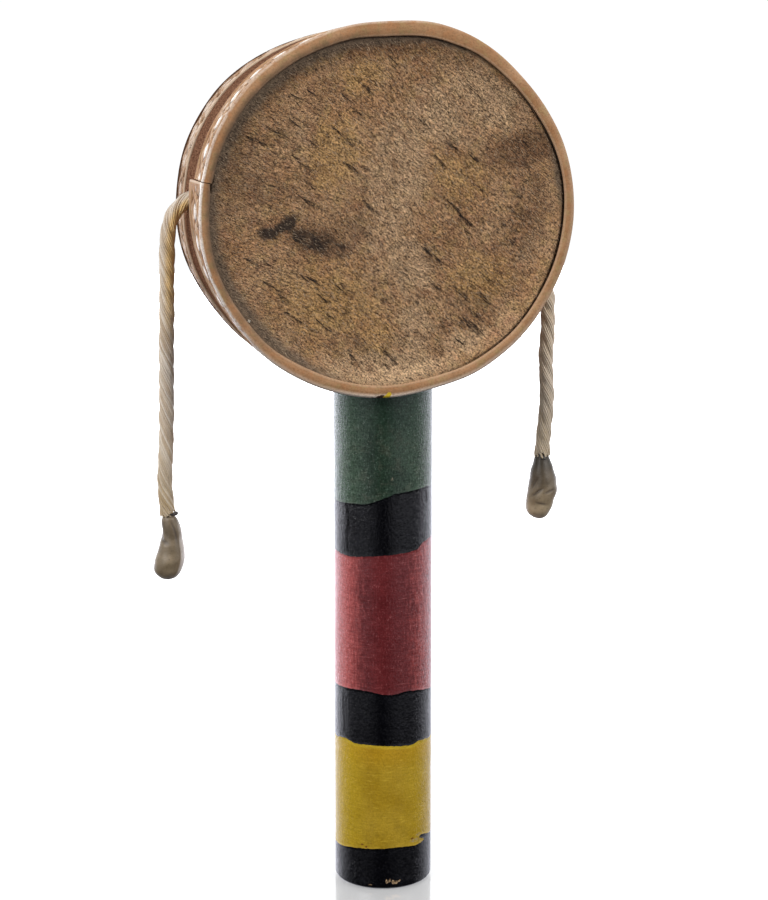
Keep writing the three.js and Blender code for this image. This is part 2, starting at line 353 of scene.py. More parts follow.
def cordTree():
    floats = ("Strand offset", "Strand pitch", "Yarn offset", "Yarn pitch", "Yarn radius", "Wander",
              "Step", "Fray", "Flare", "Backlit side", "Least tone", "Soiled", "Fibre density",
              "Fibre length")
    inputs = {"Strands": "Int", "Yarns": "Int", **{label: "Float" for label in floats}}
    tree, given, keys = shapeTree("laidCord", {**inputs, "Seed": "Int", "Material": "Material"})
    even = put(tree, "GeometryNodeResampleCurve", {"Curve": given["Geometry"], "Length": given["Step"]},
               mode="LENGTH")
    held = put(tree, "GeometryNodeCaptureAttribute", {"Geometry": even.outputs[0]})
    for kind, label, source, output in (
            ("VECTOR", "Side", "GeometryNodeInputNormal", 0),
            ("VECTOR", "Along", "GeometryNodeInputTangent", 0),
            ("FLOAT", "Length", "GeometryNodeSplineParameter", "Length"),
            ("FLOAT", "Whole", "GeometryNodeSplineLength", "Length")):
        held.capture_items.new(kind, label)
        feed(held, {label: put(tree, source).outputs[output]})
    amount = given["Strands"] * given["Yarns"]
    copies = put(tree, "GeometryNodeDuplicateElements",
                 {"Geometry": held.outputs["Geometry"], "Amount": amount}, domain="SPLINE")
    index = copies.outputs["Duplicate Index"]
    strand = calc("FLOOR", index / given["Yarns"])
    run = held.outputs["Length"]

    def turnOf(number, count, pitch):
        return fullTurn * (number / count + run / pitch)

    strandAngle = turnOf(strand, given["Strands"], given["Strand pitch"])
    yarnAngle = turnOf(index, given["Yarns"], given["Yarn pitch"])

    def layOf(wave):
        strandPart = calc(wave, strandAngle) * given["Strand offset"]
        return calc(wave, yarnAngle) * given["Yarn offset"] + strandPart

    other = vectorCalc("CROSS_PRODUCT", held.outputs["Along"], held.outputs["Side"])
    lay = vectorCalc("ADD", stretch(held.outputs["Side"], layOf("COSINE")), stretch(other, layOf("SINE")))
    toEnd = held.outputs["Whole"] - run
    lay = stretch(lay, softStep(toEnd, 0.005, 0.0005) * given["Flare"] + 1.0)
    laid = put(tree, "GeometryNodeSetPosition", {"Geometry": copies.outputs[0], "Offset": lay})
    place = put(tree, "GeometryNodeInputPosition").outputs[0]
    stray = put(tree, "ShaderNodeTexNoise", {"Vector": place, "Scale": 260.0, "Detail": 1.0})
    drift = vectorCalc("SUBTRACT", stray.outputs["Color"], (0.5, 0.5, 0.5))
    astray = stretch(drift, given["Wander"])
    loose = put(tree, "GeometryNodeSetPosition", {"Geometry": laid.outputs[0], "Offset": astray}).outputs[0]
    toned = stored(loose, "yarnTone", between(given["Least tone"], 1.0, given["Seed"], index), "CURVE")
    parts = put(tree, "ShaderNodeSeparateXYZ", {0: lay}).outputs
    # the painted golden glow of backlight through the cord, on one side of it near the drum
    inwards = (parts[0] - parts[2] * 0.6) * given["Backlit side"]
    nearDrum = softStep(run, 0.044, 0.026)
    backlitGlowShare = softStep(inwards, -0.0011, 0.0004) * (nearDrum * calc("ABSOLUTE", given["Backlit side"]))
    soil = softStep(toEnd, 0.026, 0.004) * given["Soiled"]
    soiled = stored(stored(toned, "backlitGlow", backlitGlowShare), "soil", soil)
    cutBack = between(0.0, given["Fray"], given["Seed"], index)
    end = put(tree, "GeometryNodeSplineLength").outputs["Length"] - cutBack
    frayed = put(tree, "GeometryNodeTrimCurve", {0: soiled, 4: 0.0, 5: end}, mode="LENGTH")
    ring = put(tree, "GeometryNodeCurvePrimitiveCircle",
               {"Resolution": 5, "Radius": given["Yarn radius"]})
    yarns = put(tree, "GeometryNodeCurveToMesh",
                {"Curve": frayed.outputs[0], "Profile Curve": ring.outputs[0], "Fill Caps": True})
    dots = put(tree, "GeometryNodeDistributePointsOnFaces",
               {"Mesh": yarns.outputs[0], "Density": given["Fibre density"], "Seed": given["Seed"]})
    bow = put(tree, "GeometryNodeCurveQuadraticBezier",
              {"Resolution": 3, "Start": (0, 0, 0), "Middle": (0.15, 0, 0.5), "End": (0.8, 0, 0.62)})
    thread = put(tree, "GeometryNodeCurvePrimitiveCircle", {"Resolution": 3, "Radius": 0.014})
    fibre = put(tree, "GeometryNodeCurveToMesh",
                {"Curve": bow.outputs[0], "Profile Curve": thread.outputs[0], "Fill Caps": True})
    tilts = {0: (-0.5, -0.5, 0.0), 1: (0.5, 0.5, fullTurn), "Seed": given["Seed"]}
    spin = put(tree, "FunctionNodeRandomValue", tilts, data_type="FLOAT_VECTOR")
    turned = put(tree, "FunctionNodeRotateRotation",
                 {0: dots.outputs["Rotation"], 1: spin.outputs[0]}, rotation_space="LOCAL")
    size = between(given["Fibre length"] * 0.35, given["Fibre length"], given["Seed"])
    fuzz = put(tree, "GeometryNodeInstanceOnPoints",
               {"Points": dots.outputs["Points"], "Instance": fibre.outputs[0],
                "Rotation": turned.outputs[0], "Scale": size})
    cord = put(tree, "GeometryNodeJoinGeometry", {0: fuzz.outputs[0]})
    feed(cord, {0: yarns.outputs[0]})
    endTree(tree, cord.outputs[0], given["Material"])
    return tree, keys


def smoothRoute(route):
    return smoothThrough(route, np.linspace(0, len(route) - 1, 8 * (len(route) - 1) + 1))


def makeCord(side, tree, keys, material):
    shape = cordShape
    route = smoothRoute(shape[side])
    onwards = route[-1] - route[-2]
    tucked = np.vstack([route, route[-1] + onwards / np.linalg.norm(onwards) * shape["tuck"][side]])
    data = bpy.data.curves.new(side + "Line", "CURVE")
    data.dimensions = "3D"
    spline = data.splines.new("POLY")
    spline.points.add(len(tucked) - 1)
    for point, place in zip(spline.points, tucked * mm):
        point.co = (*place, 1.0)
    values = {
        "Strands": shape["strands"],
        "Yarns": shape["yarns"],
        "Strand offset": shape["strandOffset"] * mm,
        "Strand pitch": shape["strandPitch"] * mm,
        "Yarn offset": shape["yarnOffset"] * mm,
        "Yarn pitch": shape["yarnPitch"] * mm,
        "Yarn radius": shape["yarnRadius"] * mm,
        "Wander": shape["wander"] * mm,
        "Step": shape["step"] * mm,
        "Fray": shape["fray"] * mm,
        "Flare": shape["flare"],
        "Backlit side": shape["backlitSide"][side],
        "Least tone": shape["leastTone"][side],
        "Soiled": shape["soiled"][side],
        "Fibre density": shape["fibresPerSquareMm"] / mm**2,
        "Fibre length": shape["fibreLength"] * mm,
        "Seed": 3 if side == "left" else 8,
        "Material": material,
    }
    return bakeTree(addObject(side + "Line", data), tree, keys, values, side + "_rope"), route


# The pellets: putty moulded by hand round the cord's end, rows of (below the top, radius, to the right).
pelletShape = {
    "gap": 0.3,
    "around": 72,
    "rows": 84,
    "lumpSize": 2.6,
    "lumpHeight": 0.22,
    "left": {
        "rows": [
            (0, 1.3, 0.3), (1.3, 2.05, 0.5), (3.9, 2.45, 1.0), (5.8, 2.7, 0.95), (7.4, 3.1, 0.8),
            (9.2, 3.45, 0.8), (11.5, 3.85, 0.4), (14.0, 3.55, -0.1), (15.8, 2.1, -0.3), (16.6, 0, -0.2),
        ],
        # folds as (below the top, degrees round from the front, half length, half width, slant, depth);
        # their creases get a painted shade
        "folds": [(6.2, -60, 2.2, 0.5, 20, 0.22), (4.0, 12, 2.6, 0.3, 80, 0.12)],
        "thread": {"from": -10, "to": 84, "below": -0.4, "reach": 1.9, "radius": 0.7},
        "flat": {"at": 68, "half": 36, "share": 0.93},  # one side is pressed flat, and its flat face gets a painted pale reflection of the bright surroundings
        "shades": (0.97, 0.68),
    },
    "right": {
        "rows": [
            (0, 1.6, 0), (1.4, 2.2, 0.0), (4.0, 3.0, 0.1), (6.7, 3.5, 0.3), (9.3, 3.85, 0.2),
            (12.0, 3.6, -0.4), (14.6, 3.1, -0.8), (16.2, 1.8, -0.6), (16.9, 0, -0.4),
        ],
        "folds": [(9.3, -38, 1.9, 0.32, -38, 0.34), (7.0, -55, 1.5, 0.3, -62, 0.22),
                  (9.0, 12, 1.4, 0.3, -20, 0.2), (12.2, -10, 1.6, 0.3, 12, 0.12)],
        "thread": {"from": -45, "to": 20, "below": 0.9, "reach": 2.05, "radius": 0.2},
        "flat": {"at": 80, "half": 20, "share": 0.0},  # not pressed
        "shades": (0.14, 1.48),
    },
}


def puttyMaterial():
    material, tree, shader = newMaterial("drumPutty")
    space = patternSpace(tree)
    broad = grainNoise(space, 3.5, 3.0)
    fine = grainNoise(space, 0.5, 4.0)
    drop = attribute(tree, "drop")
    upper = mixColour(softStep(broad, 0.35, 0.65), (0.14, 0.102, 0.059), (0.238, 0.178, 0.112))
    lower = mixColour(softStep(broad, 0.3, 0.7), (0.24, 0.176, 0.1), (0.37, 0.282, 0.178))
    base = mixColour(softStep(drop, 0.3, 0.75), upper, lower)
    base = dimmed(base, attribute(tree, "shade"))
    # painted reflection: the pressed flat face is painted pale as it would mirror the bright surroundings
    base = mixColour(attribute(tree, "flat") * 0.9, base, (0.5, 0.44, 0.37))
    speck = mixColour(softStep(fine, 0.58, 0.72) * 0.6, base, (0.07, 0.05, 0.034))
    # painted shade darkening the creases of the folds
    folded = mixColour(attribute(tree, "fold") * 0.8, speck, (0.06, 0.043, 0.03))
    bound = mixColour(attribute(tree, "thread"), folded, (0.02, 0.013, 0.01))
    feed(shader, {"Base Color": bound, "Roughness": 0.45, "Specular IOR Level": 0.5})
    feed(shader, {"Sheen Weight": 0.3, "Sheen Roughness": 0.4})
    bumped(shader, fine, 0.35, 0.0002)
    return material


def foldDepth(folds, depth, angle, radius):
    total, deepest = 0.0, 0.0
    for down, degrees, halfLength, halfWidth, slant, sink in folds:
        arc = math.radians(degreesPast(angle, degrees)) * radius
        lean = math.radians(slant)
        fall = depth - down
        along = (arc * math.cos(lean) + fall * math.sin(lean)) / halfLength
        across = (-arc * math.sin(lean) + fall * math.cos(lean)) / halfWidth
        share = math.exp(-along**4 - across**2)
        total += sink * share
        deepest = max(deepest, share)
    return total, deepest


# The end of the thread that binds the pellet to its cord, as a tapering ring part.
def bindingThread(thread, centre):
    points, around = [], 8
    steps = 15
    for k in range(steps):
        share = k / (steps - 1)
        turn = math.radians(thread["from"] + (thread["to"] - thread["from"]) * share)
        swell = math.sin(math.pi * (0.04 + 0.88 * share)) ** 0.5
        thick = thread["radius"] * swell * (0.35 + 0.65 * share)
        for j in range(around):
            a = fullTurn * j / around
            reach = thread["reach"] + thick * math.cos(a)
            points.append((centre[0] + reach * math.sin(turn), centre[1] - reach * math.cos(turn),
                           centre[2] - thread["below"] + thick * math.sin(a) + 0.1 * share))
    faces = gridFaces(steps, around, roundColumns=True)
    faces += [tuple(range(around)), tuple(range((steps - 1) * around, steps * around))]
    return points, faces


def makePellet(side, material):
    shape, own = pelletShape, pelletShape[side]
    rows = own["rows"]
    endX, endY, endZ = cordShape[side][-1]
    topZ = endZ - shape["gap"]
    levels = smoothThrough(rows, np.linspace(0, len(rows) - 1, shape["rows"]))
    seed = 5.0 if side == "left" else 11.0
    points = [(endX + rows[0][2], endY, topZ)]
    drops, folds, flats = [0.0], [0.0], [0.0]
    flat = own["flat"]
    for depth, radius, sway in levels[:-1]:
        for k in range(shape["around"]):
            angle = fullTurn * k / shape["around"]
            spot = Vector((math.sin(angle) * radius, -math.cos(angle) * radius, -depth))
            dent = shape["lumpHeight"] * lumps(spot, shape["lumpSize"], seed)
            sink, share = foldDepth(own["folds"], depth, angle, radius)
            reach = max(0.05, radius + (dent - sink) * min(1.0, radius / 1.5))
            off = degreesPast(angle, flat["at"])
            down = depth / rows[-1][0]
            pressed = 0.0
            if abs(off) < flat["half"]:
                pressed = flat["share"] * max(0.0, min(1.0, (down - 0.06) / 0.3, (0.95 - down) / 0.12))
                plane = radius * math.cos(math.radians(flat["half"])) / math.cos(math.radians(off))
                reach += pressed * (plane - reach) * 0.5
            x, y = endX + sway + math.sin(angle) * reach, endY - math.cos(angle) * reach
            points.append((x, y, topZ - depth))
            drops.append(down)
            folds.append(share)
            flats.append(pressed)
    points.append((endX + rows[-1][2], endY, topZ - rows[-1][0]))
    drops.append(1.0)
    folds.append(0.0)
    flats.append(0.0)
    faces = closedRows(len(levels) - 1, shape["around"])
    ringPoints, ringFaces = bindingThread(own["thread"], (endX + rows[0][2], endY, topZ))
    start = len(points)
    faces += [tuple(start + i for i in face) for face in ringFaces]
    bare = [0.0] * len(ringPoints)
    top, bottom = own["shades"]
    values = {
        "drop": drops + bare,
        "fold": folds + bare,
        "flat": flats + bare,
        "shade": [top + (bottom - top) * drop for drop in drops] + [1.0] * len(ringPoints),
        "thread": [0.0] * start + [1.0] * len(ringPoints),
    }
    piece = meshObject(side + "_drop", points + ringPoints, faces, values)
    facesOut(piece)
    piece.data.materials.append(material)
    return finishPiece(piece, "pellet_putty", side + "_pellet")


def makeCords():
    tree, keys = cordTree()
    cotton = cottonMaterial()
    putty = puttyMaterial()
    for side in ("left", "right"):
        rope, route = makeCord(side, tree, keys, cotton)
        finishPiece(rope, "cord_cotton", side + "_cord")
        drop = makePellet(side, putty)


makeCords()

# The drum's outline, as bent by hand: a little oval, with its middle a little left of the handle.
drumShape = {
    "centre": (-3.3, 0.0, 174.4),
    "radius": 45.1,
    "depth": 45.0,
    "ovalAcross": 0.01,
    "ovalSlanting": 0.01,
    # where the rim strays from the oval, as (clock degrees, half width, outwards), and where its back does
    "strays": [(0, 16, -0.25), (20, 26, 0.6), (52, 26, -0.35), (95, 40, 0.25), (138, 30, 0.3),
               (166, 16, -0.4), (236, 20, -0.5), (305, 34, 0.3)],
    "backStrays": [(345, 38, -1.3), (312, 30, -0.3)],
    "headLevel": 1.9,  # the hide lies this far behind the front of the lip
}
sideOf = {"front": -1, "back": 1}  # which way each face looks along y


def strayAt(strays, angle):
    total = 0.0
    for middle, halfWidth, outwards in strays:
        away = abs(degreesPast(angle, middle)) / halfWidth
        if away < 1:
            total += outwards / drumShape["radius"] * (0.5 + 0.5 * math.cos(math.pi * away))
    return total


def outOfRound(angle, depth=0.0):
    oval = drumShape["ovalSlanting"] * math.sin(2 * angle) - drumShape["ovalAcross"] * math.cos(2 * angle)
    atBack = strayAt(drumShape["backStrays"], angle) * limited(depth / drumShape["depth"] + 0.5)
    return oval + strayAt(drumShape["strays"], angle) + atBack


# A point of the drum by clock angle, radius before the oval, depth and an extra lift outwards.
def drumPoint(angle, radius, depth, lift=0.0):
    reach = radius * (1 + outOfRound(angle, depth)) + lift
    x, y, z = drumShape["centre"]
    return (x + reach * math.sin(angle), y + depth, z + reach * math.cos(angle))


# A value that changes smoothly round the clock, from rows of (degrees, value) that begin at 0.
def roundClock(rows, angle):
    degrees = math.degrees(angle) % 360
    spots = np.array(rows + [(360, rows[0][1])], float)
    k = int(np.searchsorted(spots[:, 0], degrees, side="right")) - 1
    share = (degrees - spots[k, 0]) / (spots[k + 1, 0] - spots[k, 0])
    return float(spots[k, 1] + (spots[k + 1, 1] - spots[k, 1]) * share * share * (3 - 2 * share))


# The leather strips: each folds over its head's edge and is embossed with a two-strand braid.
stripShape = {
    "width": 14.0,
    "thickness": 0.8,
    "corner": 0.8,
    # how far the lip reaches in over the hide, by clock angle, as cut and folded by hand
    "lip": [
        (0, 3.6), (20, 3.5), (32, 3.05), (50, 2.8), (80, 2.4), (100, 2.6), (130, 2.6), (150, 2.85),
        (180, 3.1), (207, 3.2), (230, 2.45), (245, 2.25), (280, 2.4), (300, 2.7), (325, 3.0),
        (345, 3.3),
    ],
    "lipThickness": 0.7,
    "columns": 840,
    "sideRows": 46,
    "eyes": 39,
    "spread": 3.4,
    "strand": 1.2,
    "height": 0.38,
    "borders": 5.3,  # the lines along both sides of the braid
    "start": 1.58,
    "groove": 0.3,
    "seamGap": 0.22,
    "seam": {"front": 279.6, "back": 99.6},
    "endLift": 1.15,
    "endLiftLength": 21.0,
    "endLiftFrom": 1.4,
    "endCorner": 1.6,  # the lifted end's rear corner is cut off round
    "endNotch": 0.45,
    "waver": 0.11,
    "plainStart": 0.8,  # the braid begins this far from one end, and fades out at the other
    "plainEnd": (0.8, 2.5),
    "plainRear": (13.4, 3.2),  # where it stops at the rear border, and how much sooner at the lifted end
    "cutEdge": 0.45,
    # by clock angle: the fold's painted highlight, the lip's grime towards the hide, and a painted
    # highlight of light from below along its outer edge
    "foldHighlight": [(0, 0.3), (30, 0.0), (150, 0.0), (172, 0.55), (192, 0.5), (205, 0.3), (235, 1.0),
                   (280, 1.0), (292, 0.45), (310, 0.3), (335, 0.3)],
    "grime": [
        (0, 0.4), (20, 0.1), (60, 0.0), (180, 0.0), (205, 0.2), (235, 0.6), (265, 0.85), (300, 0.85),
        (340, 0.7),
    ],
    "paintedUnderLight": [(0, 0.0), (115, 0.2), (150, 0.7), (185, 1.0), (205, 0.5), (250, 0.0)],
    "underLightFrom": 43.7,
    "foldHighlightFrom": 44.5,
    "foldReach": {"all": 3.4, "edgeLightAndShade": 2.7, "dark": 3.0},  # how far back each goes: the fold, the painted highlight on the front strip's fold, and the painted shade on the back strip's fold
    # the back strip's tone, and its share of the painted highlight in the braid's eyes
    "backTone": 0.92,
    "backShine": 0.35,
    # paint that ran onto the front lip's lower edge, as (clock degrees, radius, half size)
    "drips": [(180.9, 44.9, 0.62), (180.4, 44.1, 0.5), (181.7, 45.2, 0.42)],
    "smears": [(182.6, 45.0, 0.6), (183.7, 45.1, 0.5)],
}


# The braid at a phase along the strip and a place across it, in millimetres: how high it stands, the
# lines beside its strands, and the eyes between them. Works in both kinds of node tree.
def braidPattern(phase, across, spread, strand, slope, lineWidth):
    wave = calc("SINE", phase)
    turn = calc("COSINE", phase)
    swing = wave * spread
    lean = turn * slope
    upright = calc("INVERSE_SQRT", lean * lean + 1.0)

    def strandParts(sign):
        share = calc("ABSOLUTE", across - swing * sign) * upright / strand
        ridge = softStep(share, 1.0, 0.25)
        line = calc("SUBTRACT", 1.0, calc("ABSOLUTE", share - 1.1) / lineWidth, clamp=True)
        above = softStep(turn * sign, -0.2, 0.2)
        return ridge, line, above

    ridgeA, lineA, aboveA = strandParts(1.0)
    ridgeB, lineB, aboveB = strandParts(-1.0)

    def shown(line, ridge, above):
        return line * (1.0 - ridge * above)

    heightA = ridgeA * (aboveA * 0.35 + 0.65)
    heightB = ridgeB * (aboveB * 0.35 + 0.65)
    crest = calc("MAXIMUM", heightA, heightB)
    lines = calc("MAXIMUM", shown(lineA, ridgeB, aboveB), shown(lineB, ridgeA, aboveA))
    border = calc("ABSOLUTE", calc("ABSOLUTE", across) - stripShape["borders"])
    lines = calc("MAXIMUM", lines, calc("SUBTRACT", 1.0, border / 0.35, clamp=True))
    room = calc("ABSOLUTE", swing) - strand * 1.15
    narrowed = calc("ABSOLUTE", across) * 1.4
    inside = (room - narrowed) / strand
    eye = softStep(inside, -0.05, 0.25)
    return calc("MAXIMUM", crest, eye * 0.85), lines, eye


def braidSlope():
    return stripShape["spread"] * stripShape["eyes"] / 2 / drumShape["radius"]


def leatherMaterial():
    material, tree, shader = newMaterial("embossedLeather")
    s = stripShape
    space = patternSpace(tree)
    pores = grainNoise(space, 0.4, 4.0, 0.6)
    cloud = grainNoise(space, 7.0, 4.0)
    tint = grainNoise(space, 2.4, 4.0, 0.65)
    mask = attribute(tree, "emboss")
    top, lines, eye = braidPattern(attribute(tree, "braidPhase"), attribute(tree, "across"),
                                   s["spread"], s["strand"], braidSlope(), 0.34)
    relief = top * mask
    # painted highlights: the braid's eyes and the front strip's fold are painted near white, as they would
    # catch the bright surroundings
    shining = eye * mask * attribute(tree, "shine")
    lens = calc("MAXIMUM", shining, attribute(tree, "edgeLightAndShade") * softStep(tint, 0.28, 0.48))
    sheet = {0: attribute(tree, "braidPhase") * 0.1, 1: attribute(tree, "across") * 0.34}
    drawn = put(tree, "ShaderNodeCombineXYZ", sheet).outputs[0]
    streak = grainNoise(drawn, 0.8, 4.0, 0.7)
    base = mixColour(softStep(cloud, 0.3, 0.7), (0.375, 0.192, 0.087), (0.495, 0.283, 0.149))
    olive = mixColour(softStep(tint, 0.5, 0.66) * 0.6, base, (0.42, 0.295, 0.13))
    russet = mixColour(softStep(tint, 0.48, 0.32) * 0.6, olive, (0.46, 0.215, 0.095))
    # painted highlight of light from below along the lip's lower outer edge
    russet = mixColour(attribute(tree, "paintedUnderLight") * 0.95, russet, (0.93, 0.76, 0.61))
    sided = mixColour(mask * 0.5, russet, (0.57, 0.345, 0.21))
    lightStreak = softStep(streak, 0.51, 0.59) * mask
    sided = mixColour(lightStreak * 0.9, sided, (0.95, 0.8, 0.66))
    darkStreak = softStep(streak, 0.47, 0.39) * mask
    sided = mixColour(darkStreak * 0.9, sided, (0.13, 0.055, 0.024))
    worn = mixColour(relief * 0.4, sided, (0.58, 0.36, 0.21))
    # painted shade along the back strip's folded edge
    folded = mixColour(attribute(tree, "paintedFoldShade") * 0.95, worn, (0.065, 0.03, 0.017))
    # the painted highlights mixed in
    bright = mixColour(lens * 0.9, folded, (0.92, 0.83, 0.74))
    beaten = mixColour(attribute(tree, "bead") * 0.35, bright, (0.66, 0.46, 0.31))
    dusty = mixColour(softStep(pores, 0.55, 0.3) * 0.45, beaten, (0.2, 0.1, 0.05))
    grimed = tint * 0.8 + attribute(tree, "grime") - 0.4
    dusty = mixColour(softStep(grimed, 0.05, 0.9) * 0.9, dusty, (0.15, 0.095, 0.058))
    lined = mixColour(lines * mask * 0.95, dusty, (0.045, 0.02, 0.01))
    edged = mixColour(attribute(tree, "cutEdge") * 0.85, lined, (0.74, 0.57, 0.42))
    worked = pores * 0.5 - 0.25
    smear = softStep(attribute(tree, "smear") + worked, 0.25, 0.5)
    smeared = mixColour(smear, edged, (0.05, 0.025, 0.015))
    drip = softStep(attribute(tree, "drip") + worked, 0.3, 0.45)
    dripped = mixColour(drip, smeared, (0.75, 0.52, 0.04))
    gloss = (lens * 0.25 + 0.1) * (1.0 - attribute(tree, "paintedFoldShade"))
    rough = pores * 0.3 + 0.5 - lens * 0.3
    leather = dimmed(dripped, attribute(tree, "tone"))
    feed(shader, {"Base Color": leather, "Specular IOR Level": gloss, "Roughness": rough})
    bumped(shader, pores, 0.65, 0.0002)
    return material


# The strip's section for one height of lip, as (radius, back from the rim, kind), going once round it.
def stripSection(lip):
    s = stripShape
    outer = drumShape["radius"]
    inner = outer - s["thickness"]
    lipEnd = outer - lip
    bead = s["lipThickness"] / 2
    edge = 0.3  # rounding of the rear border
    rows = [(inner, s["width"] - 0.1, "inner"), (inner, s["width"] * 0.5, "inner")]
    rows += [(inner, s["lipThickness"] + 0.2, "inner"), (inner - 0.3, s["lipThickness"], "inner")]
    rows += [(lipEnd + 0.9, s["lipThickness"], "inner")]
    for k in range(9):
        turn = math.pi * k / 8
        rows.append((lipEnd + bead - bead * math.sin(turn), bead + bead * math.cos(turn), "bead"))
    for k in range(1, 8):
        share = k / 8
        crown = 0.14 * math.sin(math.pi * share)
        rows.append((lipEnd + bead + (outer - s["corner"] - lipEnd - bead) * share, -crown, "lip"))
    for k in range(9):
        turn = 0.5 * math.pi * k / 8
        inwards, back = 1 - math.sin(turn), 1 - math.cos(turn)
        rows.append((outer - s["corner"] * inwards, s["corner"] * back, "lip"))
    for k in range(1, s["sideRows"] + 1):
        rows.append((outer, s["corner"] + (s["width"] - edge - s["corner"]) * k / s["sideRows"], "side"))
    for k in range(1, 5):
        turn = 0.5 * math.pi * k / 4
        inwards, back = 1 - math.cos(turn), 1 - math.sin(turn)
        rows.append((outer - edge * inwards, s["width"] - edge * back, "side"))
    return rows


def embossTree():
    labels = ("Spread", "Strand", "Slope", "Line width", "Height", "Groove")
    inputs = {label: "Float" for label in labels}
    tree, given, keys = shapeTree("braidEmboss", {**inputs, "Material": "Material"})
    top, lines, eye = braidPattern(named(tree, "braidPhase"), named(tree, "across"), given["Spread"],
                                   given["Strand"], given["Slope"], given["Line width"])
    stamped = (top - 1.0) * given["Height"]
    rise = (stamped - lines * given["Groove"]) * named(tree, "emboss")
    outwards = stretch(put(tree, "GeometryNodeInputNormal").outputs[0], rise)
    raised = put(tree, "GeometryNodeSetPosition", {"Geometry": given["Geometry"], "Offset": outwards})
    endTree(tree, raised.outputs[0], given["Material"])
    return tree, keys


# How far the lip reaches in over the hide at a clock angle.
def lipReach(face, angle):
    s = stripShape
    seam = math.radians(s["seam"][face])
    toEnd = ((seam - angle) % fullTurn) * drumShape["radius"]
    return roundClock(s["lip"], angle) - s["endNotch"] * max(0.0, 1 - toEnd / 3.5)


def spotShare(spots, angle, radius):
    share = 0.0
    for degrees, middle, size in spots:
        arc = math.radians(degreesPast(angle, degrees)) * radius
        share = max(share, 1 - 0.5 * math.hypot(arc, radius - middle) / size)
    return max(0.0, share)


def makeStrip(face, tree, keys, material):
    s = stripShape
    side = sideOf[face]
    seam = math.radians(s["seam"][face])
    half = s["seamGap"] / 2 / drumShape["radius"]
    columns = s["columns"] + 1
    rows = len(stripSection(3.0))
    points = np.zeros((rows, columns, 3))
    labels = ("braidPhase", "across", "emboss", "cutEdge", "bead", "grime", "edgeLightAndShade", "paintedFoldShade",
              "paintedUnderLight", "tone", "shine", "drip", "smear")
    values = {label: np.zeros((rows, columns)) for label in labels}
    for j in range(columns):
        along = half + (fullTurn - 2 * half) * j / s["columns"]
        angle = seam + along
        toEnd = (fullTurn - along) * drumShape["radius"]
        nearEnd = max(0.0, 1 - toEnd / s["endLiftLength"]) ** 1.5
        cornerCut = 0.0
        if toEnd < s["endCorner"]:
            cornerCut = s["endCorner"] * (1 - math.sqrt(1 - (1 - toEnd / s["endCorner"]) ** 2))
        around = (math.sin(angle) * 40, math.cos(angle) * 40, side * 9.0)
        waver = s["waver"] * lumps(around, 9.0, 2.0 + side)
        waverBack = 2 * s["waver"] * lumps(around, 13.0, 6.0 + side)
        endFrom, endOver = s["plainEnd"]
        fromStart = along * drumShape["radius"]
        ends = min(1.0, fromStart / s["plainStart"], max(0.0, (toEnd - endFrom) / endOver))
        plain = s["plainRear"][0] - s["plainRear"][1] * nearEnd
        grime = roundClock(s["grime"], -side * angle)
        edgeLightAndShade = roundClock(s["foldHighlight"], angle)
        paintedUnderLight = roundClock(s["paintedUnderLight"], -side * angle)
        lip = lipReach(face, angle) + 0.6 * waver
        for i, (radius, back, kind) in enumerate(stripSection(lip)):
            rear = max(0.0, back - s["endLiftFrom"]) / (s["width"] - s["endLiftFrom"])
            lift = s["endLift"] * nearEnd * rear
            trimmed = min(back, s["width"] - cornerCut * rear) if kind != "lip" else back
            depth = side * (drumShape["depth"] / 2 - trimmed + waverBack)
            points[i, j] = drumPoint(angle, radius, depth, lift + waver)
            here = {
                "braidPhase": s["eyes"] * along / 2 + s["start"],
                "across": back - s["width"] / 2,
                "tone": 1.0 if side < 0 else s["backTone"],
                "shine": 1.0 if side < 0 else s["backShine"],
                "bead": 1.0 if kind == "bead" else 0.0,
            }
            outside = kind in ("lip", "side")
            onFold = outside and radius > drumShape["radius"] - 0.6 and back < s["foldReach"]["all"]
            # the lip's outer edge gets the painted highlight of light from below
            if kind == "lip":
                here["paintedUnderLight"] = paintedUnderLight * limited(radius + back - s["underLightFrom"])
            if kind == "side":
                here["emboss"] = limited(back - 1.5) * limited((plain - back) / 0.6) * ends
                isCut = back > s["width"] - s["cutEdge"] or (toEnd < 0.5 and back > 0.9)
                here["cutEdge"] = 1.0 if isCut else 0.0
            # the front strip's fold gets a painted highlight, the back strip's fold a painted shade
            if onFold and side < 0:
                fromLip, toRear = radius + back - s["foldHighlightFrom"], s["foldReach"]["edgeLightAndShade"] - back
                here["edgeLightAndShade"] = edgeLightAndShade * max(0.0, min(1.0, toRear / 0.6, fromLip / 0.5))
            if onFold and side > 0:
                here["paintedFoldShade"] = limited((s["foldReach"]["dark"] - back) / 0.9)
            if kind in ("bead", "lip"):
                here["grime"] = grime * max(0.0, 1.25 * (drumShape["radius"] - radius) / lip - 0.25)
            if side < 0 and outside and back < 1.5:
                here["drip"] = spotShare(s["drips"], angle, radius + back)
                here["smear"] = spotShare(s["smears"], angle, radius + back)
            for label, value in here.items():
                values[label][i, j] = value
    faces = gridFaces(rows, columns, roundRows=True)
    for j in (0, columns - 1):
        loop = [i * columns + j for i in range(rows)]
        faces.append(tuple(loop if j == 0 else reversed(loop)))
    flat = {label: grid.ravel() for label, grid in values.items()}
    sheet = meshObject(face + "Sheet", points.reshape(-1, 3), faces, flat, sharp=60.0)
    facesOut(sheet)
    settings = {
        "Spread": s["spread"],
        "Strand": s["strand"],
        "Slope": braidSlope(),
        "Line width": 0.3,
        "Height": s["height"] * mm,
        "Groove": s["groove"] * mm,
        "Material": material,
    }
    piece = bakeTree(sheet, tree, keys, settings, face + "_band")
    return finishPiece(piece, "strip_leather", face + "_strip")


def makeStrips():
    tree, keys = embossTree()
    leather = leatherMaterial()
    for face in ("front", "back"):
        piece = makeStrip(face, tree, keys, leather)
        print(face, "strip:", len(piece.data.polygons), "faces")


makeStrips()

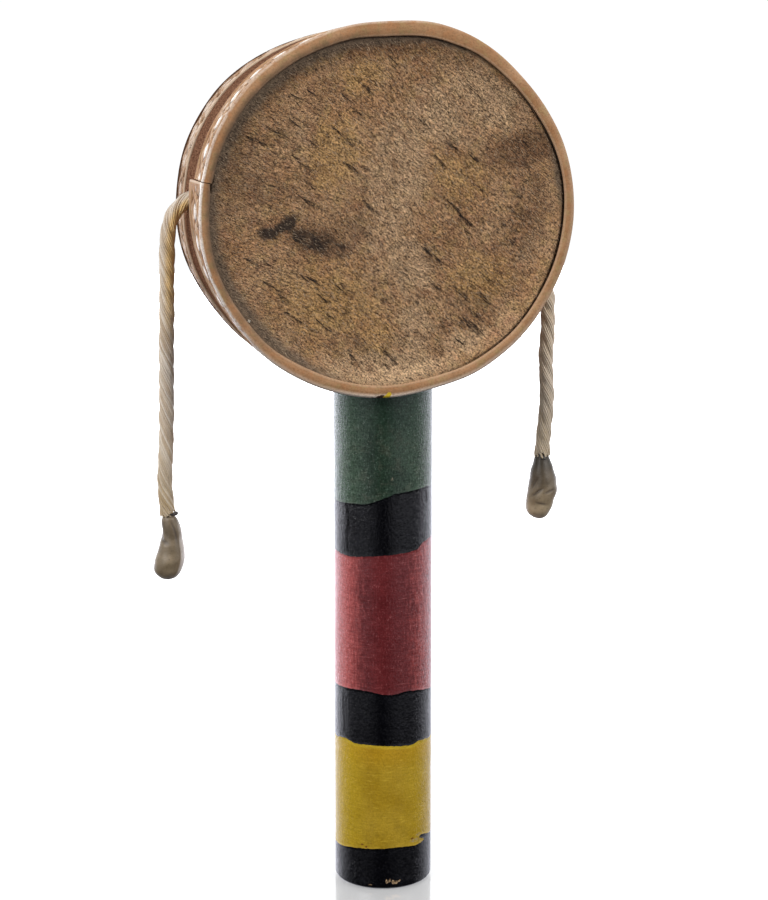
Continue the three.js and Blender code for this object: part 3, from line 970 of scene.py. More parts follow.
# The hide heads: goat hide with its short hair on, stretched flat and dished a little.
hideShape = {
    "rim": 43.9,
    "thickness": 0.9,
    "dish": 0.4,
    "around": 320,
    "rings": 84,
    "borderRings": (0.62, 0.45, 0.3, 0.15, 0.0, -0.35),  # rings close to the lip, by distance from it
    "unevenness": 0.22,
    "napPerSquareMm": 4.9,
    "napLength": 1.3,
    "napWidth": 0.15,
    "press": 0.16,  # how far the hair leans into the hide
    "spread": 0.42,
    "lie": (29.0, 43.0),  # how steeply it falls, in degrees, at the left and from the middle on
    # how far the hide lies below the lip's underside, and how deep the gap beside the lip is, which is also
    # painted near black as a painted shadow
    "clearance": [(0, 0.2), (30, 0.2), (90, 0.25), (150, 0.15), (180, 0.02), (230, 0.05), (280, 0.1),
                  (330, 0.12)],
    "gap": [(0, 0.1), (12, 0.4), (30, 0.4), (45, 0.3), (55, 0.45), (95, 0.5), (140, 0.4), (156, 0.15),
            (170, 0.0), (276, 0.0), (279, 0.8), (282, 0.0)],
    # grime and painted shade along the lip as its width and its strength, by clock angle
    "grimeAndShadeWidth": [
        (0, 3.2), (20, 2.0), (40, 0.8), (60, 0.8), (78, 2.6), (95, 1.2), (130, 0.8), (150, 1.0),
        (170, 1.2), (190, 1.6), (205, 2.6), (215, 3.6), (235, 4.2), (250, 3.8), (265, 3.2),
        (300, 4.2), (340, 3.6),
    ],
    "grime": [
        (0, 0.85), (20, 0.55), (40, 0.3), (60, 0.35), (78, 0.75), (95, 0.45), (130, 0.35),
        (150, 0.25), (170, 0.15), (190, 0.2), (205, 0.5), (215, 0.8), (235, 0.9), (250, 0.85),
        (265, 0.7), (280, 0.6), (300, 0.8), (320, 0.85), (340, 0.85),
    ],
    # patches as (right of the middle, above it, half width, half height, turn in degrees, strength)
    "pale": [
        (2.5, 8.0, 7.0, 20.0, -12, 0.8), (5.0, -12.5, 5.0, 7.0, 20, 1.0),
        (24.5, 26.0, 9.5, 6.0, -40, 1.0), (12.0, 22.0, 11.0, 7.0, -25, 0.7),
        (7.0, -29.0, 5.0, 8.5, 5, 0.8), (20.0, -31.0, 8.0, 4.0, 30, 0.7),
        (-22.0, 22.0, 4.0, 5.0, 0, 0.35), (34.5, -10.0, 3.0, 4.0, 0, 0.5),
        (0.0, -38.0, 17.0, 5.0, 0, 0.9),
    ],
    "golden": [
        (-13.0, 14.0, 6.0, 9.0, -20, 1.0), (-6.0, 32.0, 7.0, 4.0, 10, 0.8),
        (-14.0, -22.0, 14.0, 9.0, 0, 0.8), (17.0, 8.0, 8.0, 6.0, 0, 0.7),
        (22.0, -16.0, 8.0, 6.0, 0, 0.8), (-3.0, -30.0, 7.0, 6.0, 0, 0.7),
    ],
    "dark": [
        (33.5, 14.5, 9.0, 4.5, 15, 0.95), (-17.0, -6.5, 8.0, 3.6, -8, 0.95),
        (-8.0, -4.0, 6.0, 5.0, 0, 0.45), (33.0, -5.0, 6.0, 9.0, 0, 0.5),
        (21.0, -22.0, 5.0, 5.0, 0, 0.35), (-26.0, 6.0, 6.0, 5.0, 0, 0.4),
        (-24.0, 16.0, 3.0, 5.0, 20, 0.35), (-8.0, -30.5, 4.5, 2.6, -30, 0.5),
        (10.0, -11.0, 2.0, 4.0, 30, 0.45), (-34.0, 8.0, 8.0, 11.0, 0, 0.55),
        (36.0, 2.0, 6.0, 12.0, 0, 0.5),
    ],
    "stain": [
        (-28.6, -4.6, 2.9, 1.5, 5, 1.0), (-24.2, -2.3, 2.2, 1.8, 30, 1.0),
        (-26.4, -3.6, 2.2, 1.4, 25, 0.9), (-21.0, -5.0, 3.8, 2.0, -25, 0.75),
        (-17.0, -7.0, 5.0, 2.6, -10, 0.68), (-12.5, -8.5, 4.0, 2.0, -15, 0.5),
    ],
    # tufts of dark hair as (right of the middle, above it), full ones and thin ones
    "tufts": [
        (-27, 19), (-31.5, 17), (-9.5, 11), (-20, 3), (-5, 1.5), (15, 16), (20.5, 13), (15.5, 1.5),
        (-28.5, -17), (-19, -15.5), (-23.5, -24.5), (-0.5, -34), (18, -1.5), (19.5, -2.5),
        (8.5, -8.5), (17.5, -19.5), (23.5, -21), (21.5, -28), (20, -27.5), (23.5, -32.5), (12.5, -34),
        (14, -36.5), (15.5, -37.5),
    ],
    "wisps": [
        (-18.5, 28), (-10, 26.5), (-23, 27.5), (-23.5, 21.5), (-34, 18), (-23, 13.5), (-21, 11.5),
        (-18.5, 16.5), (-13, 19.5), (-10.5, 17), (-19.5, 7), (-5.5, 29), (-7.5, 23.5), (0.5, 36),
        (12.5, 12), (22, 5.5), (20.5, 28.5), (10.5, 38), (23, 32.5), (33, 16.5), (8.5, 21),
        (-25.5, -20), (-22, -14.5), (-16.5, -20), (-12.5, -17.5), (-10.5, -18), (-14.5, -24.5),
        (-16.5, -26.5), (-10, -33.5), (-1, -36.5), (-34.5, -10.5), (-30, -11.5), (-23, -6),
        (18.5, -4), (11.5, -11), (11, -17.5), (21, -24.5), (17.5, -31.5), (8.5, -38.5), (37.5, -12),
        (35, -19), (24.5, -16.5), (31, -8), (2.5, -14),
    ],
    # pale scraps stuck to the hide, and how far up they lie
    "flecks": [(-34.3, -25.0, 1.4), (-40.3, -11.6, 0.3), (21.8, 37.4, 0.5), (31.0, 26.1, 0.3)],
    # each as (how many hairs, half length, half width, kind of mark)
    "markHairs": {
        "tufts": (12, 2.3, 0.36, 1.0),
        "wisps": (6, 1.7, 0.28, 1.0),
        "flecks": (9, 0.45, 0.3, 2.0),
    },
}


def patchValue(patches, x, z, ragged):
    total = 0.0
    for px, pz, wide, tall, turn, strength in patches:
        a = math.radians(turn)
        dx, dz = x - px, z - pz
        across = (dx * math.cos(a) + dz * math.sin(a)) / wide
        up = (-dx * math.sin(a) + dz * math.cos(a)) / tall
        reach = math.hypot(across, up) + ragged
        total = max(total, strength * limited(1.45 - reach))
    return total


def hideMaterial():
    material, tree, shader = newMaterial("hairyHide")
    space = patternSpace(tree)
    lie = math.radians(40.0)
    alongHair = patternSpace(tree, (0.3, 1.0, 1.5), (0.0, lie, 0.0))
    leftHair = patternSpace(tree, (0.3, 1.0, 1.5), (0.0, math.radians(hideShape["lie"][0]), 0.0))
    combedBroad = patternSpace(tree, (0.5, 1.0, 1.2), (0.0, lie, 0.0))
    cloud = grainNoise(space, 9.0, 5.0, 0.6)
    mottle = grainNoise(combedBroad, 2.2, 5.0, 0.65)
    nap = grainNoise(alongHair, 0.42, 4.0, 0.7)
    napLeft = grainNoise(leftHair, 0.42, 4.0, 0.7)
    leftwards = attribute(tree, "leftwards")
    nap = leftwards * (napLeft - nap) + nap
    speckle = grainNoise(space, 0.42, 3.0, 0.8)
    hue = grainNoise(space, 3.4, 4.0, 0.65)
    frayed = mottle * 1.4 - 0.7
    tone = attribute(tree, "tone")

    def patch(label):
        return softStep(attribute(tree, label) + frayed, 0.1, 0.85)

    base = mixColour(softStep(cloud, 0.35, 0.65), (0.4, 0.215, 0.098), (0.48, 0.29, 0.15))
    base = mixColour(softStep(hue, 0.5, 0.64) * 0.42, base, (0.4, 0.27, 0.105))
    base = mixColour(softStep(hue, 0.48, 0.34) * 0.5, base, (0.35, 0.17, 0.095))
    gold = mixColour(patch("golden") * 0.48, base, (0.52, 0.31, 0.1))
    pale = mixColour(patch("pale") * 0.62, gold, (0.6, 0.41, 0.24))
    deep = mixColour(patch("dark") * 0.75, pale, (0.16, 0.078, 0.036))
    mottled = mixColour(softStep(mottle, 0.5, 0.28) * 0.6, deep, (0.17, 0.08, 0.033))
    shade = nap * 3.3 + speckle * 4.8 - 3.12
    # grime mixed with a painted shade of the lip along the hide's border
    grimed = speckle * 1.6 + mottle * 0.9 + attribute(tree, "grime") * 1.6 - 1.25
    edgeLightAndShade = mixColour(softStep(grimed, 0.1, 0.85) * 0.88, mottled, (0.17, 0.122, 0.082))
    evened = attribute(tree, "grime") * 0.75
    shade = evened * (0.9 - shade) + shade
    grained = dimmed(edgeLightAndShade, calc("MAXIMUM", shade, 0.16))
    dark = mixColour(patch("stain") * 0.93, grained, (0.02, 0.013, 0.01))
    # painted shadow in the crevice between the hide and the lip
    creviceShadow = mixColour(attribute(tree, "gap"), dark, (0.006, 0.004, 0.003))
    light = mixColour(softStep(tone, 0.5, 1.0) * 0.9, creviceShadow, (0.72, 0.54, 0.37))
    hairs = mixColour(softStep(tone, 0.5, 0.1), light, (0.03, 0.02, 0.014))
    flecked = mixColour(attribute(tree, "fleck"), hairs, (0.75, 0.68, 0.58))
    feed(shader, {"Base Color": flecked, "Roughness": 0.7, "Specular IOR Level": 0.25})
    feed(shader, {"Sheen Weight": 0.1, "Sheen Roughness": 0.4})
    bumped(shader, nap + speckle, 0.7, 0.0003)
    return material


# Hair over the whole hide, and the tufts and flecks at the sheet's loose points.
def napTree():
    labels = ("Density", "Length", "Width", "Towards", "Press", "Spread")
    inputs = {label: "Float" for label in labels}
    tree, given, keys = shapeTree("hideNap", {**inputs, "Seed": "Int", "Material": "Material"})
    sheet, seed = given["Geometry"], given["Seed"]
    mark, fall = named(tree, "mark"), named(tree, "lie")
    across, down = calc("COSINE", fall) * given["Towards"], calc("SINE", fall) * -1.0
    lean = put(tree, "ShaderNodeCombineXYZ", {0: across, 1: given["Press"], 2: down}).outputs[0]
    cone = {"Vertices": 3, "Side Segments": 1, "Radius Top": 0.0, "Radius Bottom": 0.5, "Depth": 1.0}
    spike = put(tree, "GeometryNodeMeshCone", cone).outputs[0]

    def marksOf(kind):
        chosen = put(tree, "FunctionNodeCompare", {0: mark, 1: kind, "Epsilon": 0.1},
                     data_type="FLOAT", operation="EQUAL").outputs[0]
        return put(tree, "GeometryNodeMeshToPoints", {"Mesh": sheet, "Selection": chosen}).outputs[0]

    def hairsAt(dots, spread, length, width, draw):
        most = put(tree, "ShaderNodeCombineXYZ", {0: spread, 1: spread * 0.25, 2: spread}).outputs[0]
        least = vectorCalc("MULTIPLY", most, (-1, -1, -1))
        stray = put(tree, "FunctionNodeRandomValue", {0: least, 1: most, "Seed": seed + draw},
                    data_type="FLOAT_VECTOR")
        way = vectorCalc("ADD", lean, stray.outputs[0])
        facing = put(tree, "FunctionNodeAlignRotationToVector", {"Vector": way}, axis="Z").outputs[0]
        reach = between(length * 0.4, length, seed + (draw + 1))
        size = put(tree, "ShaderNodeCombineXYZ", {0: width, 1: width, 2: reach}).outputs[0]
        return put(tree, "GeometryNodeInstanceOnPoints",
                   {"Points": dots, "Instance": spike, "Rotation": facing, "Scale": size}).outputs[0]

    spread, length, width = given["Spread"], given["Length"], given["Width"]
    density = named(tree, "napGrows") * given["Density"]
    dots = put(tree, "GeometryNodeDistributePointsOnFaces",
               {"Mesh": sheet, "Density": density, "Seed": seed}).outputs["Points"]
    nap = hairsAt(stored(dots, "tone", between(0.12, 0.95, seed + 5)), spread, length, width, 2)
    tuftDots = stored(marksOf(1.0), "tone", between(0.0, 0.22, seed + 9))
    tufts = hairsAt(tuftDots, spread * 0.26, length * 2.5, width * 1.15, 7)
    flecks = hairsAt(stored(marksOf(2.0), "fleck", 1.0), 0.8, length * 0.7, width * 1.6, 12)
    loose = put(tree, "FunctionNodeCompare", {0: mark, 1: 0.5}, data_type="FLOAT", operation="GREATER_THAN")
    bare = put(tree, "GeometryNodeDeleteGeometry", {"Geometry": sheet, "Selection": loose.outputs[0]},
               domain="POINT").outputs[0]
    whole = put(tree, "GeometryNodeJoinGeometry", {0: nap})
    for part in (tufts, flecks, bare):
        feed(whole, {0: part})
    endTree(tree, whole.outputs[0], given["Material"])
    return tree, keys


def smoothShare(value, start, end):
    share = limited((value - start) / (end - start))
    return share * share * (3 - 2 * share)


# The hide's level at a radius and clock angle, with its lumps, its slope to the lip and the gap there.
def hideLevel(face, radius, angle, toLip):
    h = hideShape
    side = sideOf[face]
    dish = h["dish"] * (1 - min(1.0, radius / h["rim"]) ** 2)
    x, z = radius * math.sin(angle), radius * math.cos(angle)
    uneven = h["unevenness"] * lumps((x, 0, z), 11.0, 4.0 + side)
    nearLip = 1 - smoothShare(toLip, 0.0, 5.0)
    atLip = stripShape["lipThickness"] + roundClock(h["clearance"], side * -angle)
    level = drumShape["headLevel"] + (atLip - drumShape["headLevel"]) * nearLip
    sink = roundClock(h["gap"], side * -angle) * (1 - smoothShare(toLip, 0.1, 0.5))
    return drumShape["depth"] / 2 - level - dish + uneven * (1 - nearLip) - sink


# How steeply the hair falls to the right, in degrees, at a place right of the middle.
def hairFall(right):
    start, end = hideShape["lie"]
    return start + (end - start) * smoothShare(right, -34.0, -4.0)


# Loose points for the tufts and flecks, each with its kind of mark and how steeply its hair falls.
def hideMarks(face):
    h = hideShape
    side = sideOf[face]
    pick = np.random.default_rng(17)
    x0, y0, z0 = drumShape["centre"]
    marks = []
    for label, (hairs, halfLength, halfWidth, kind) in h["markHairs"].items():
        for right, up, *lift in h[label]:
            fall = math.radians(hairFall(right))
            way = (math.cos(fall), -math.sin(fall))
            size = pick.uniform(0.7, 1.25)
            for along, across in pick.uniform(-1, 1, (hairs, 2)):
                x = right + (along * halfLength * way[0] - across * halfWidth * way[1]) * size
                z = up + (along * halfLength * way[1] + across * halfWidth * way[0]) * size
                radius, angle = math.hypot(x, z), math.atan2(x, z)
                level = hideLevel(face, radius, -side * angle, 5.0) + (lift[0] if lift else 0.03)
                marks.append(((x0 - side * x, y0 + side * level, z0 + z), kind, fall))
    return marks


def makeHead(face, tree, keys, material):
    h = hideShape
    side = sideOf[face]
    x0, _, z0 = drumShape["centre"]
    names = ("pale", "golden", "dark", "stain", "grime", "gap", "tone", "fleck", "napGrows", "mark", "lie",
             "leftwards")
    points, values = [], {label: [] for label in names}

    def add(radius, angle, depth, toLip, shown=True):
        point = drumPoint(angle, radius, depth)
        points.append(point)
        x, z = -side * (point[0] - x0), point[2] - z0
        for label, seed in (("pale", 1.0), ("golden", 2.0), ("dark", 3.0), ("stain", 4.0)):
            ragged = 0.35 * lumps((x, 0, z), 3.0, seed)
            values[label].append(patchValue(h[label], x, z, ragged) if shown else 0.0)
        # grime and a painted shade of the lip, towards the hide's border
        width = roundClock(h["grimeAndShadeWidth"], -side * angle)
        # the gap beside the lip, painted near black as a painted shadow
        deep = roundClock(h["gap"], -side * angle)
        torn = 0.07 + 0.22 * lumps((x, 0, z), 1.7, 7.0)
        here = {
            "grime": roundClock(h["grime"], -side * angle) * limited(1 - toLip / width),
            "gap": min(1.0, 1.3 * deep) * (1 - smoothShare(toLip, torn - 0.12, torn + 0.14)),
            "lie": math.radians(hairFall(x)),
            "leftwards": 1 - smoothShare(x, -34.0, -4.0),
            "tone": 0.5,
            "fleck": 0.0,
            "napGrows": 1.0 if shown and toLip > 0.5 else 0.0,
            "mark": 0.0,
        }
        for label, value in here.items():
            values[label].append(value)

    around = h["around"]
    angles = [fullTurn * k / around for k in range(around)]
    lips = [drumShape["radius"] - lipReach(face, a) for a in angles]
    add(0.0, 0.0, side * hideLevel(face, 0.0, 0.0, 40.0), 40.0)
    for k in range(h["rings"]):
        share = ((k + 1) / h["rings"]) ** 0.85
        for angle, lip in zip(angles, lips):
            radius = (lip - 0.85) * share
            add(radius, angle, side * hideLevel(face, radius, angle, lip - radius), lip - radius)
    for toLip in h["borderRings"]:
        for angle, lip in zip(angles, lips):
            add(lip - toLip, angle, side * hideLevel(face, lip - toLip, angle, toLip), toLip)
    backLevel = drumShape["depth"] / 2 - drumShape["headLevel"] - h["thickness"] - h["dish"] - 0.9
    for depth in (drumShape["depth"] / 2 - drumShape["headLevel"] - 1.0, backLevel):
        for angle in angles:
            add(h["rim"], angle, side * depth, -1.0, False)
    add(0.0, 0.0, side * backLevel, 40.0, False)
    count = h["rings"] + len(h["borderRings"]) + 2
    faces = closedRows(count, around)
    for point, kind, fall in hideMarks(face):
        points.append(point)
        for label in names:
            values[label].append({"mark": kind, "tone": 0.5, "lie": fall}.get(label, 0.0))
    sheet = meshObject(face + "Sheet", points, faces, values, sharp=50.0)
    facesOut(sheet)
    settings = {
        "Density": h["napPerSquareMm"] / mm**2,
        "Length": h["napLength"] * mm,
        "Width": h["napWidth"] * mm,
        "Towards": -side,
        "Press": side * h["press"],
        "Spread": h["spread"],
        "Seed": 21 if side < 0 else 34,
        "Material": material,
    }
    piece = bakeTree(sheet, tree, keys, settings, face + "_hide")
    return finishPiece(piece, "head_hide", face + "_head")


def makeHeads():
    tree, keys = napTree()
    hide = hideMaterial()
    for face in ("front", "back"):
        piece = makeHead(face, tree, keys, hide)
        print(face, "head:", len(piece.data.polygons), "faces")


makeHeads()

# The wooden shell: a bent hoop, dark and dull, with a hole for each cord.
shellShape = {
    "seat": 44.1,
    "middle": 44.7,
    "bore": 39.3,
    "halfDepth": 19.4,
    "middleHalf": 8.2,
    "holeRadius": 2.3,
    "holeReach": 14.0,
    "columns": 480,
}


def shellMaterial():
    material, tree, shader = newMaterial("shellWood")
    grain = patternSpace(tree, (1.6, 0.3, 1.6))
    line = grainNoise(grain, 0.55, 5.0, 0.7)
    cloud = grainNoise(patternSpace(tree), 8.0, 3.0)
    base = mixColour(softStep(line, 0.35, 0.65), (0.064, 0.027, 0.016), (0.28, 0.14, 0.083))
    aged = mixColour(softStep(cloud, 0.4, 0.75) * 0.25, base, (0.17, 0.08, 0.045))
    feed(shader, {"Base Color": aged, "Roughness": 0.9, "Specular IOR Level": 0.0})
    bumped(shader, line, 0.25, 0.0002)
    return material


def makeShell(material):
    s = shellShape
    outer = [(s["bore"], -s["halfDepth"]), (s["seat"], -s["halfDepth"]), (s["seat"], -s["middleHalf"])]
    outer += [(s["middle"], -s["middleHalf"])]
    for k in range(1, 10):
        crown = 0.08 * math.sin(math.pi * k / 10)
        outer.append((s["middle"] + crown, s["middleHalf"] * (k / 5 - 1)))
    outer += [(s["middle"], s["middleHalf"]), (s["seat"], s["middleHalf"]), (s["seat"], s["halfDepth"])]
    outer += [(s["bore"], s["halfDepth"])]
    points = []
    for radius, depth in outer:
        for k in range(s["columns"]):
            angle = fullTurn * k / s["columns"]
            points.append(drumPoint(angle, radius, depth))
    faces = gridFaces(len(outer), s["columns"], roundColumns=True, roundRows=True)
    hoop = meshObject("drum_hoop", points, faces, sharp=30.0)
    facesOut(hoop)
    hoop.data.materials.append(material)
    cutters = []
    for side in ("left", "right"):
        start, later = (Vector(cordShape[side][k]) * mm for k in (0, 2))
        bpy.ops.mesh.primitive_cylinder_add(vertices=40, radius=s["holeRadius"] * mm,
                                            depth=s["holeReach"] * mm, location=start)
        cutter = bpy.context.object
        cutter.rotation_mode = "QUATERNION"
        cutter.rotation_quaternion = (later - start).to_track_quat("Z", "Y")
        cutters.append(cutter)
        cut = hoop.modifiers.new("hole", "BOOLEAN")
        cut.operation = "DIFFERENCE"
        cut.solver = "EXACT"
        cut.object = cutter
    bpy.context.view_layer.update()
    graph = bpy.context.evaluated_depsgraph_get()
    mesh = bpy.data.meshes.new_from_object(hoop.evaluated_get(graph), depsgraph=graph)
    hoop.modifiers.clear()
    hoop.data = mesh
    for cutter in cutters:
        bpy.data.objects.remove(cutter)
    return finishPiece(hoop, "shell_wood", "shell")


hoop = makeShell(shellMaterial())
print("shell:", len(hoop.data.polygons), "faces")

# The handle: a turned stick painted in bands by hand, its top hollowed to the drum.
handleShape = {
    "radius": 12.5,
    "footRounding": 1.2,
    "columns": 240,
    "rows": 240,
    "topRings": 24,
    "overStrips": 45.6,
    "overShell": 45.0,
    "tongue": 7.9,
    "unevenness": 0.07,
    # the painted edges as (degrees round from the front, height), from the left side to the right
    "edges": {
        "greenBlack": [
            (-180, 103.0), (-120, 101.2), (-78, 100.8), (-54, 101.1), (-29, 101.5), (-13, 102.8),
            (2, 104.0), (45, 104.7), (63, 104.4), (110, 103.6), (180, 103.0),
        ],
        "blackRed": [
            (-180, 89.0), (-120, 88.2), (-78, 87.7), (-57, 87.4), (-24, 88.1), (21, 88.8), (32, 89.3),
            (40, 90.6), (64, 91.2), (110, 90.4), (180, 89.0),
        ],
        "redBlack": [
            (-180, 51.8), (-120, 52.4), (-80, 52.7), (-33, 53.0), (-4, 52.1), (18, 52.7), (69, 51.2),
            (120, 51.0), (180, 51.8),
        ],
        "blackYellow": [
            (-180, 39.2), (-120, 38.5), (-85, 38.6), (-64, 39.3), (-55, 39.0), (-49, 38.7),
            (-16, 38.7), (14, 38.3), (24, 38.2), (34, 38.8), (61, 38.3), (110, 38.6), (180, 39.2),
        ],
        "yellowBlack": [
            (-180, 10.6), (-120, 10.0), (-82, 9.7), (-44, 10.7), (-21, 11.1), (5, 11.3), (27, 11.0),
            (34.5, 11.2), (36.5, 13.2), (53, 12.6), (61, 12.2), (110, 11.0), (180, 10.6),
        ],
    },
    # small marks as (degrees, height, half width, half height): bare wood where the foot is chipped, the
    # end of a brush stroke of yellow, rust-coloured spots and grey scuffs
    "marks": {
        "chip": [
            (-8.5, 2.2, 0.26, 0.7), (-5.0, 2.5, 0.26, 0.6), (-1.0, 2.1, 0.34, 0.6),
            (3.0, 1.9, 0.5, 0.45), (7.0, 2.3, 0.3, 0.35), (-28.0, 1.3, 0.7, 0.14),
        ],
        "stroke": [(37.0, 11.6, 1.7, 0.5), (33.0, 11.9, 1.6, 0.7)],
        "rust": [(-38.0, 12.0, 0.5, 0.3), (-33.0, 11.5, 0.4, 0.28), (-27.0, 12.6, 0.4, 0.25),
                 (24.0, 13.0, 0.5, 0.3)],
        "scuff": [(28.0, 12.3, 1.4, 0.4), (34.0, 13.6, 0.9, 0.35), (-2.0, 107.8, 0.35, 0.3)],
    },
    # cracks along the grain as (degrees, from height, to height, half width, depth)
    "cracks": [(-58.0, 88.2, 101.4, 0.6, 0.05), (48.0, 100.0, 105.0, 0.5, 0.05),
               (-66.0, 40.0, 51.0, 0.3, 0.04)],
    "hiddenFrom": 102.8,  # degrees round to the left where the camera's view of the handle ends
}


def bandEdge(points, angles):
    points = np.array(points, float)
    spots = np.interp(angles, points[:, 0], np.arange(len(points)))
    return smoothThrough(points, spots)[:, 1]


def paintMaterial():
    material, tree, shader = newMaterial("bandPaint")
    space = patternSpace(tree)
    upright = patternSpace(tree, (1.0, 1.0, 0.22))
    level = patternSpace(tree, (0.2, 0.2, 1.6))
    fine = grainNoise(space, 0.32, 4.0, 0.65)
    pebble = grainNoise(space, 0.75, 3.0, 0.6)
    stroke = grainNoise(upright, 0.7, 4.0, 0.6)
    brush = grainNoise(level, 0.6, 4.0, 0.6)
    cloud = grainNoise(space, 9.0, 4.0)
    worn = grainNoise(space, 3.2, 5.0, 0.7)
    ragged = grainNoise(space, 1.2, 4.0, 0.6) * 0.55 - 0.275
    weave = grainNoise(space, 0.5, 3.0, 0.7)
    height = put(tree, "ShaderNodeSeparateXYZ", {0: space}).outputs[2]
    arc = attribute(tree, "arc")

    def wrapped(across, up):
        parts = {0: arc * across, 1: height * up}
        return put(tree, "ShaderNodeCombineXYZ", parts).outputs[0]

    uprightFine = grainNoise(wrapped(1.0, 0.3), 0.42, 3.0, 0.75)
    levelFine = grainNoise(wrapped(0.12, 1.0), 0.42, 3.0, 0.75)
    ridges = []
    shares = {}

    def below(edge):
        off = attribute(tree, edge) + ragged
        away = off / 0.32
        ridges.append(calc("EXPONENT", away * away * -1.0))
        shares[edge] = softStep(off, 0.05, -0.05)
        return shares[edge]

    def paint(dark, light):
        return mixColour(softStep(cloud, 0.35, 0.65), dark, light)

    def mark(label, start=0.4, end=0.6):
        return softStep(ragged * 0.8 + attribute(tree, label), start, end)

    greyed = softStep(worn, 0.52, 0.7) * softStep(fine, 0.4, 0.65)
    black = mixColour(greyed, (0.0012, 0.0012, 0.0022), (0.009, 0.009, 0.014))
    # painted side light: the paint is painted lighter towards the left and right of the handle as the
    # camera sees it, and round the back
    paintedSideLight = attribute(tree, "paintedSideLight")
    green = paint((0.02, 0.039, 0.024), (0.033, 0.058, 0.037))
    green = mixColour(softStep(worn, 0.5, 0.66) * 0.4, green, (0.08, 0.085, 0.06))
    green = mixColour(softStep(weave, 0.55, 0.75) * 0.5, green, (0.1, 0.15, 0.115))
    green = mixColour(paintedSideLight * 0.6, green, (0.075, 0.14, 0.08))
    # painted light: the green is painted lighter just under the drum, against the drum's shadow
    green = mixColour(softStep(height, 115.0, 129.0) * 0.35, green, (0.06, 0.14, 0.085))
    red = paint((0.116, 0.014, 0.016), (0.152, 0.0215, 0.0235))
    # thin paint streaks, with the painted side light
    thin = stroke * 0.7 + brush * 0.5 + paintedSideLight * 0.75 - 0.6
    red = mixColour(softStep(thin, 0.05, 0.8) * 0.83, red, (0.64, 0.135, 0.125))
    crossed = calc("MAXIMUM", softStep(uprightFine, 0.58, 0.72), softStep(levelFine, 0.6, 0.74))
    red = mixColour(crossed * 0.3, red, (0.52, 0.2, 0.19))
    yellow = paint((0.38, 0.233, 0.014), (0.465, 0.298, 0.026))
    yellow = mixColour(softStep(levelFine, 0.55, 0.7) * 0.4, yellow, (0.68, 0.49, 0.06))
    dirt = softStep(height, 27.0, 14.0) * softStep(worn, 0.45, 0.65)
    yellow = mixColour(dirt * 0.25, yellow, (0.17, 0.115, 0.012))
    speck = softStep(height, 34.0, 20.0) * softStep(weave, 0.62, 0.72)
    yellow = mixColour(speck * 0.6, yellow, (0.12, 0.09, 0.02))
    yellow = mixColour(softStep(height, 31.0, 37.0) * 0.4, yellow, (0.58, 0.31, 0.014))
    upperRim = softStep(attribute(tree, "blackYellow"), -1.1, -0.3)
    yellow = mixColour(upperRim * 0.6, yellow, (0.7, 0.51, 0.04))
    # painted side light on the yellow
    yellow = mixColour(paintedSideLight * 0.55, yellow, (0.66, 0.45, 0.018))
    yellow = dimmed(yellow, levelFine * 0.5 + weave * 0.9 + 0.3)
    grain = uprightFine * 1.6 + levelFine * 1.4 + weave * 1.8 - 1.4
    grain = calc("MAXIMUM", grain, 0.3)
    green = dimmed(green, grain)
    red = dimmed(red, grain * 0.6 + 0.4)
    black = dimmed(black, grain)
    colour = green
    for edge, over in zip(handleShape["edges"], (black, red, black, yellow, black)):
        colour = mixColour(below(edge), colour, over)
    colour = mixColour(mark("stroke"), colour, yellow)
    colour = mixColour(softStep(fine, 0.69, 0.8) * 0.3, colour, (0.5, 0.47, 0.42))
    colour = mixColour(mark("rust") * 0.85, colour, (0.16, 0.045, 0.012))
    grated = mark("scuff", 0.25, 0.6) * softStep(fine, 0.42, 0.58)
    colour = mixColour(grated * 0.6, colour, (0.42, 0.36, 0.27))
    wood = mixColour(softStep(fine, 0.35, 0.62), (0.06, 0.025, 0.01), (0.62, 0.43, 0.25))
    colour = mixColour(mark("chip"), colour, wood)
    whole = 1.0 - attribute(tree, "crack")
    matt = calc("SUBTRACT", shares["blackYellow"], shares["yellowBlack"], clamp=True)
    dulled = weave * 2.6 + uprightFine * 1.6 - 1.1
    gloss = (0.45 - matt * 0.27) * whole * calc("MAXIMUM", dulled, 0.2)
    feed(shader, {"Base Color": dimmed(colour, whole), "Roughness": worn * 0.22 + 0.07})
    feed(shader, {"Specular IOR Level": gloss})
    pits = softStep(weave, 0.6, 0.72)
    relief = pebble * 0.7 + uprightFine * 0.9 + stroke * 0.5 - pits * 0.9
    for ridge in ridges:
        relief = ridge * 0.6 + relief
    bumped(shader, relief, attribute(tree, "coarse") * 0.42 + 0.26, 0.00035)
    return material


def handleTop(x, y):
    h = handleShape
    near = limited((abs(y) - h["tongue"]) / 0.3)
    clear = h["overShell"] + (h["overStrips"] - h["overShell"]) * near
    cx, _, cz = drumShape["centre"]
    angle = math.pi
    for _ in range(4):
        reach = clear * (1 + outOfRound(angle))
        drop = math.sqrt(reach * reach - (x - cx) ** 2)
        angle = math.atan2(x - cx, -drop)
    return cz - drop


# How deep and how dark the cracks are at places of the handle given in degrees and heights.
def crackShare(degrees, heights):
    share, depth = np.zeros(len(heights)), np.zeros(len(heights))
    for angle, low, high, halfWidth, sink in handleShape["cracks"]:
        sway = 1.2 * np.sin(heights * 0.55 + angle)
        across = np.radians(degrees - angle - sway) * handleShape["radius"] / halfWidth
        ends = np.clip(np.minimum(heights - low, high - heights) / 0.8, 0, 1)
        one = np.exp(-across**2) * ends
        share = np.maximum(share, one)
        depth = np.maximum(depth, one * sink)
    return share, depth


